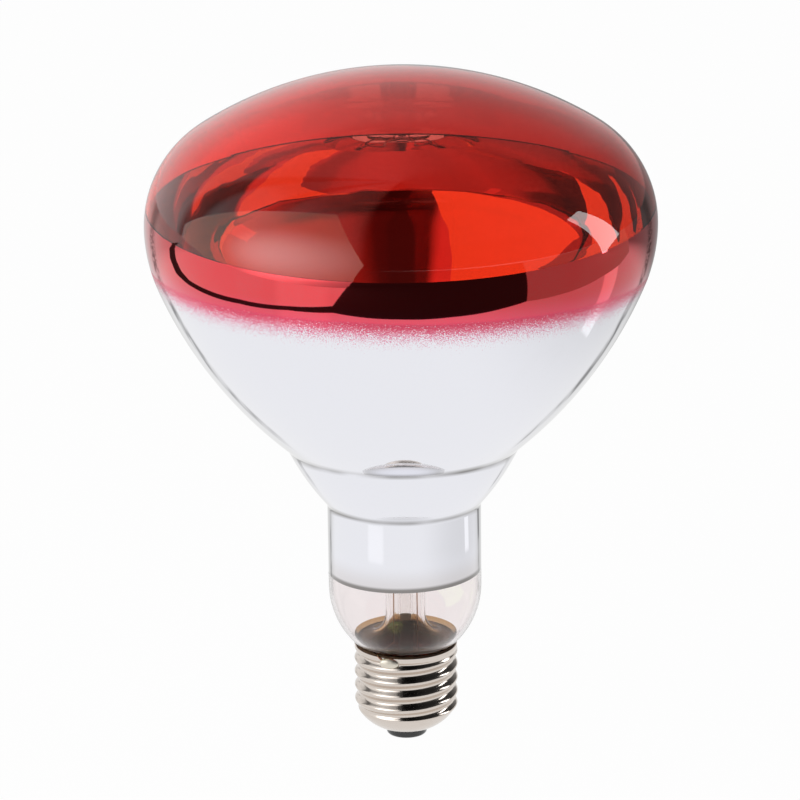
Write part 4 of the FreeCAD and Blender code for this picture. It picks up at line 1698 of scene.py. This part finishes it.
@dataclass(frozen=True)
class WhiteFloor:
    """White floor. The camera sees it evenly white, and the lamp's mirrors see patches on it.

    Spans give where a smooth step starts and where it ends: turns in degrees about the lamp,
    lengths in millimetres, and for gap_broken values of the noise.
    """

    size: float = 12000.0
    albedo: float = 0.95
    glow: float = 0.90
    own_light: float = 0.98
    fall: Span = (50.0, 280.0)
    fall_depth: float = 0.30
    pool_turn: float = -132.0
    pool_width: Span = (34.0, 8.0)
    streak_turn: float = 12.0
    streak_width: Span = (7.0, 4.0)
    bright_start: Span = (150.0, 170.0)
    far_start: Span = (220.0, 420.0)
    far_turn: Span = (112.0, 48.0)
    far_depth: float = 0.45
    far_least: float = 0.24
    gap_turn: float = 39.0
    gap_width: Span = (6.5, 1.0)
    gap_start: Span = (100.0, 120.0)
    gap_noise: float = 30.0
    gap_broken: Span = (0.36, 0.62)
    gap_depth: float = 0.50
    gap_least: float = 0.16
    behind_across: Span = (0.0, -110.0)
    behind_along: Span = (300.0, 500.0)
    behind_gain: float = 0.9

    def _lit(self, graph: ShaderGraph, across: Socket, turn: Socket, out: Socket) -> Socket:
        """The light of the floor, dimmer at the right, with a bright pool and a bright streak.

        Args:
            graph: the material's graph.
            across: the X coordinate.
            turn: the turn about the lamp, in degrees.
            out: the distance from the lamp.

        Returns:
            The brightness.
        """
        fall = graph.times(graph.step(across, self.fall), self.fall_depth)
        pool = graph.ramp(graph.away(turn, self.pool_turn), *self.pool_width)
        streak = graph.ramp(graph.away(turn, self.streak_turn), *self.streak_width)
        bright = graph.times(graph.math("MAXIMUM", pool, streak), graph.step(out, self.bright_start))
        return graph.math("MAXIMUM", graph.times(graph.minus(1.0, fall), self.glow), bright)

    def _far(self, graph: ShaderGraph, along: Socket, turn: Socket) -> Socket:
        """How much darker the floor far behind the lamp is in a mirror.

        Args:
            graph: the material's graph.
            along: the Y coordinate.
            turn: the turn about the lamp, in degrees.

        Returns:
            The loss of light.
        """
        turned = graph.times(graph.ramp(turn, *self.far_turn), self.far_depth)
        return graph.times(graph.step(along, self.far_start), graph.plus(turned, self.far_least))

    def _gap(self, graph: ShaderGraph, turn: Socket, out: Socket) -> Socket:
        """How much darker the two broken stripes behind the lamp are in a mirror.

        Args:
            graph: the material's graph.
            turn: the turn about the lamp, in degrees.
            out: the distance from the lamp.

        Returns:
            The loss of light.
        """
        beside = graph.away(turn, 90.0)
        gap = graph.ramp(graph.away(beside, self.gap_turn), *self.gap_width)
        gap = graph.times(gap, graph.step(out, self.gap_start))
        broken = graph.ramp(graph.noise(graph.place(), self.gap_noise, 2.0), *self.gap_broken)
        return graph.times(gap, graph.plus(graph.times(broken, self.gap_depth), self.gap_least))

    def build(self) -> bpy.types.Object:
        """Makes the floor, which keeps a little of the lamp's shadow.

        Returns:
            The floor.
        """
        bpy.ops.object.select_all(action="DESELECT")
        bpy.ops.mesh.primitive_plane_add(size=self.size * MM, location=(0.0, 0.0, 0.0))
        piece = bpy.context.object
        piece.name = "floor"
        material, graph, shader = new_material("white_floor")
        dress(shader, graph, Base_Color=(self.albedo,) * 3, Roughness=1.0)
        camera, glossy, through = (graph.ray(kind) for kind in ("Camera", "Glossy", "Transmission"))
        across, along, _ = graph.split(graph.place())
        turn = graph.times(graph.math("ARCTAN2", along, across), 180.0 / math.pi)
        length = graph.add("ShaderNodeVectorMath", operation="LENGTH")
        graph.feed(length.inputs[0], graph.place())
        out = length.outputs["Value"]
        light = self._lit(graph, across, turn, out)
        for loss in (self._far(graph, along, turn), self._gap(graph, turn, out)):
            light = graph.times(light, graph.minus(1.0, graph.times(loss, glossy)))
        behind = graph.times(graph.step(across, self.behind_across), graph.step(along, self.behind_along))
        gain = graph.times(graph.times(behind, through), self.behind_gain)
        light = graph.times(light, graph.plus(1.0, gain))
        strength = graph.math("MAXIMUM", light, camera)
        glow = graph.add("ShaderNodeEmission", Color=(1.0, 1.0, 1.0, 1.0), Strength=strength)
        seen = graph.math("MAXIMUM", graph.math("MAXIMUM", camera, glossy), through)
        mixed = graph.add("ShaderNodeMixShader")
        graph.feed(mixed.inputs[0], graph.times(seen, self.own_light))
        graph.feed(mixed.inputs[1], shader.outputs[0])
        graph.feed(mixed.inputs[2], glow.outputs[0])
        graph.feed(material.node_tree.nodes["Material Output"].inputs["Surface"], mixed.outputs[0])
        return put_on_stage(piece, material)


@dataclass(frozen=True)
class Surroundings:
    """The sky by its turn about the lamp: how bright it is mirrored and refracted, and its low shade.

    Spans give heights of the way into the sky, from 0 on the level to 1 straight up.
    """

    stops: tuple[tuple[float, float, float, float], ...] = (
        (-180.0, 0.9, 0.45, 0.0), (-171.0, 0.9, 0.45, 0.0), (-166.0, 0.22, 0.5, 0.0),
        (-158.0, 0.30, 0.8, 0.0), (-154.0, 0.72, 0.95, 0.0), (-148.0, 0.7, 0.95, 0.0),
        (-125.0, 0.4, 0.95, 0.0), (-112.0, 0.2, 0.95, 0.0), (-106.0, 0.012, 0.08, 0.0),
        (-75.0, 0.012, 0.07, 1.0), (-64.0, 0.03, 0.31, 1.0), (-40.0, 0.05, 0.48, 0.9),
        (-26.0, 0.05, 0.55, 0.3), (-12.0, 0.05, 0.6, 0.0), (0.0, 0.05, 0.7, 0.0),
        (30.0, 0.06, 0.6, 0.0), (54.0, 0.2, 0.65, 0.0), (75.0, 0.5, 0.7, 0.0),
        (90.0, 0.78, 0.75, 0.0), (110.0, 0.88, 0.8, 0.0), (135.0, 0.92, 0.8, 0.0),
        (152.0, 0.9, 0.7, 0.0), (157.0, 0.25, 0.65, 0.0), (166.0, 0.20, 0.5, 0.0),
        (171.0, 0.9, 0.45, 0.0), (180.0, 0.9, 0.45, 0.0),
    )
    rise: Span = (0.1, 0.7)
    rise_depth: float = 0.6
    top: Span = (0.72, 0.88)
    top_depth: float = 0.25
    shade_end: Span = (0.42, 0.30)
    shade_depth: float = 0.8

    def _band(self, graph: ShaderGraph, across: Socket, along: Socket) -> bpy.types.NodeOutputs:
        """Reads the stops at a turn.

        Args:
            graph: the world's graph.
            across: the X coordinate of the way.
            along: the Y coordinate of the way.

        Returns:
            The levels: mirrored as Red, refracted as Green and shaded as Blue.
        """
        turn = graph.plus(graph.over(graph.math("ARCTAN2", along, across), math.tau), 0.5)
        band = graph.add("ShaderNodeValToRGB", Fac=turn)
        marks = band.color_ramp.elements
        for count, (angle, *levels) in enumerate(self.stops):
            place = angle / 360.0 + 0.5
            mark = marks[count] if count < 2 else marks.new(place)
            mark.position = place
            mark.color = (*levels, 1.0)
        return graph.add("ShaderNodeSeparateColor", Color=band.outputs["Color"]).outputs

    def build(self) -> bpy.types.World:
        """Makes the surroundings, which the camera sees white.

        Returns:
            The world.
        """
        world = bpy.data.worlds.new("surroundings")
        bpy.context.scene.world = world
        world.use_nodes = True
        graph = ShaderGraph(world.node_tree)
        across, along, up = graph.split(graph.add("ShaderNodeTexCoord").outputs["Generated"])
        levels = self._band(graph, across, along)
        low = graph.minus(1.0, graph.times(graph.ramp(up, *self.rise), self.rise_depth))
        high = graph.minus(low, graph.times(graph.ramp(up, *self.top), self.top_depth))
        mirrored = graph.times(levels["Red"], high)
        shaded = graph.times(graph.ramp(up, *self.shade_end), graph.times(levels["Blue"], self.shade_depth))
        refracted = graph.times(levels["Green"], graph.minus(1.0, shaded))
        colour = graph.mix(graph.ray("Transmission"), mirrored, refracted)
        background = world.node_tree.nodes["Background"]
        graph.feed(background.inputs["Color"], graph.mix(graph.ray("Camera"), colour, (1.0, 1.0, 1.0)))
        background.inputs["Strength"].default_value = 1.0
        return world


@dataclass
class Studio:
    """White floor and surroundings, cards of painted shade in front of the lamp, lit sheets and the camera.
    """

    look_height: float = 88.72
    distance: float = 760.0
    pitch: float = 16.2
    roll: float = 0.67
    focal_length: float = 137.97
    shift: float = -0.00375
    card_height: float = 12.0
    card_tone: Colour = (1.0, 0.85, 0.72)
    far_share: float = 15.0
    sheet_left: tuple[Point, ...] = (
        (-860.0, 430.0), (-600.0, 335.0), (-435.0, 236.0), (-337.0, 152.0), (-299.0, 84.0),
        (-263.0, 4.0), (-226.0, -71.0), (-167.0, -148.0), (-104.0, -194.0),
    )
    table_left: tuple[Point, ...] = (
        (-121.0, -226.0), (-183.0, -162.0), (-249.0, -78.0), (-292.0, 5.0), (-327.0, 78.0),
        (-378.0, 132.0), (-478.0, 203.0), (-720.0, 328.0), (-1340.0, 555.0),
    )
    table_front: tuple[Point, ...] = ((-184.0, -457.0), (-140.0, -296.0), (-121.0, -226.0))
    sheet_front: tuple[Point, ...] = (
        (-104.0, -194.0), (-3.0, -194.0), (67.0, -186.0), (147.0, -166.0), (200.0, -150.0),
    )
    sheet_right: tuple[Point, ...] = (
        (200.0, -150.0), (255.0, -88.0), (343.0, 26.0), (399.0, 127.0), (486.0, 230.0),
    )
    dark: float = 0.010
    dim: float = 0.36
    left_sheet: LitSheet = LitSheet(
        "left_sheet", (
            (-184.0, -457.0, 0.0), (-123.0, -460.0, 165.0), (-270.0, -385.0, 640.0),
            (-4550.0, 1800.0, 640.0), (-4550.0, 1800.0, 0.0),
        ), 0.95, 0.45, hot_brightness=2.5,
    )
    floor: WhiteFloor = WhiteFloor()
    surroundings: Surroundings = Surroundings()
    right_window: LitSheet = LitSheet(
        "right_window", (
            (750.0, -127.0, 429.0), (750.0, -5.0, 458.0), (750.0, 232.0, 109.0), (750.0, 69.0, 20.0),
        ), 3.8, 3.8, refracted=1.0, refracted_tone=(1.0, 1.0, 1.0),
    )

    def camera(self) -> bpy.types.Object:
        """Makes the camera.

        Returns:
            The camera.
        """
        lens = bpy.data.cameras.new("camera")
        lens.lens = self.focal_length
        lens.shift_x = self.shift
        lens.clip_end = 100.0
        down = math.radians(self.pitch)
        lean = math.radians(self.roll)
        ahead = Vector((0.0, math.cos(down), -math.sin(down)))
        right = Vector((1.0, 0.0, 0.0))
        up = right.cross(ahead)
        leaning_up = up * math.cos(lean) + right * math.sin(lean)
        leaning_right = right * math.cos(lean) - up * math.sin(lean)
        turn = Matrix((leaning_right, leaning_up, -ahead)).transposed().to_4x4()
        spot = Vector((0.0, 0.0, self.look_height * MM)) - ahead * self.distance * MM
        piece = bpy.data.objects.new("camera", lens)
        piece.matrix_world = Matrix.Translation(spot) @ turn
        bpy.context.scene.collection.objects.link(piece)
        bpy.context.scene.camera = piece
        return piece

    def card(self, name: str, outline: tuple[Point, ...], shade: float) -> bpy.types.Object:
        """Lays a card of painted shade beside the white sheet, outside the picture. It glows at its shade to
        all rays but the camera's, which see it white.

        Args:
            name: its name.
            outline: its corners in millimetres.
            shade: its brightness.

        Returns:
            The card.
        """
        corners = [Vector((across, along, self.card_height)) * MM for across, along in outline]
        piece = traced_sheet(name, corners)
        material, graph, shader = new_material(name)
        # The card's tone is painted shade, dark or dim, seen white by the camera.
        tone = tuple(shade * share for share in self.card_tone)
        dress(
            shader, graph, Base_Color=(0.02, 0.02, 0.02), Roughness=1.0,
            Emission_Color=graph.mix(graph.ray("Camera"), tone, (1.0, 1.0, 1.0)),
            Emission_Strength=1.0,
        )
        return put_on_stage(piece, material)

    def _far(self, place: Point) -> Point:
        """The place far away in the same direction."""
        return place[0] * self.far_share, place[1] * self.far_share

    def build(self) -> None:
        """Makes the whole studio."""
        bpy.context.scene.view_settings.view_transform = "Standard"
        self.camera()
        self.floor.build()
        self.card("sheet_gap", self.sheet_left + self.table_left, self.dark)
        front = self.table_front + self.sheet_front
        self.card("dark_front", (self._far(front[0]), *front, self._far(front[-1])), self.dark)
        right = self.sheet_right
        self.card("dim_right", (self._far(right[0]), *right, self._far(right[-1])), self.dim)
        self.surroundings.build()
        self.left_sheet.build()
        self.right_window.build()


def main(frame: dict[str, object]) -> None:
    """Builds the lamp and its studio in order.
    """
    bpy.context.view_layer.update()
    nodes = frame["nodes"]
    patterns = SharedPatterns.build()
    stem_glass = ClearGlass(
        "clear_stem_glass", stain=(0.52, 0.34, 0.18), stain_top=30.5, rim_shade_share=0.35,
        index=1.30, shine=(1.0, 0.70, 0.48),
    ).build(patterns)
    metal = {finish.name: finish.build(patterns) for finish in METALS}
    cement = BakedCement().build(patterns)
    black_glass = BlackGlass().build(patterns)

    bulb = GlassBulb()
    shell = ScrewShell()
    filling = CapFilling()
    bulb.build(patterns)
    GlassStem().build(bulb, stem_glass)
    Filament().build(metal["tungsten"])
    shell.build(metal["rolled_nickel"], metal["stained_inside"])
    filling.cement(bulb, cement)
    filling.insulator(shell, black_glass)
    filling.solder(metal["dull_solder"])
    SmoothCopy("filament_arbor", Slot.STEM_GLASS).build(nodes["filament_arbor"], stem_glass)
    side_solder = SmoothCopy("side_solder", Slot.SOLDER, (1.5, 1.0, 1.18))
    side_solder.build(nodes["side_solder"], metal["tinned_patch"])
    for name, solid in nodes.items():
        for start, finish in KEPT_SOLIDS.items():
            if name.startswith(start):
                put_finish(solid, metal[finish])

    Studio().build()


if __name__ == "__main__":
    logging.basicConfig(level=logging.INFO, format="%(name)s: %(message)s")
    main(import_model())
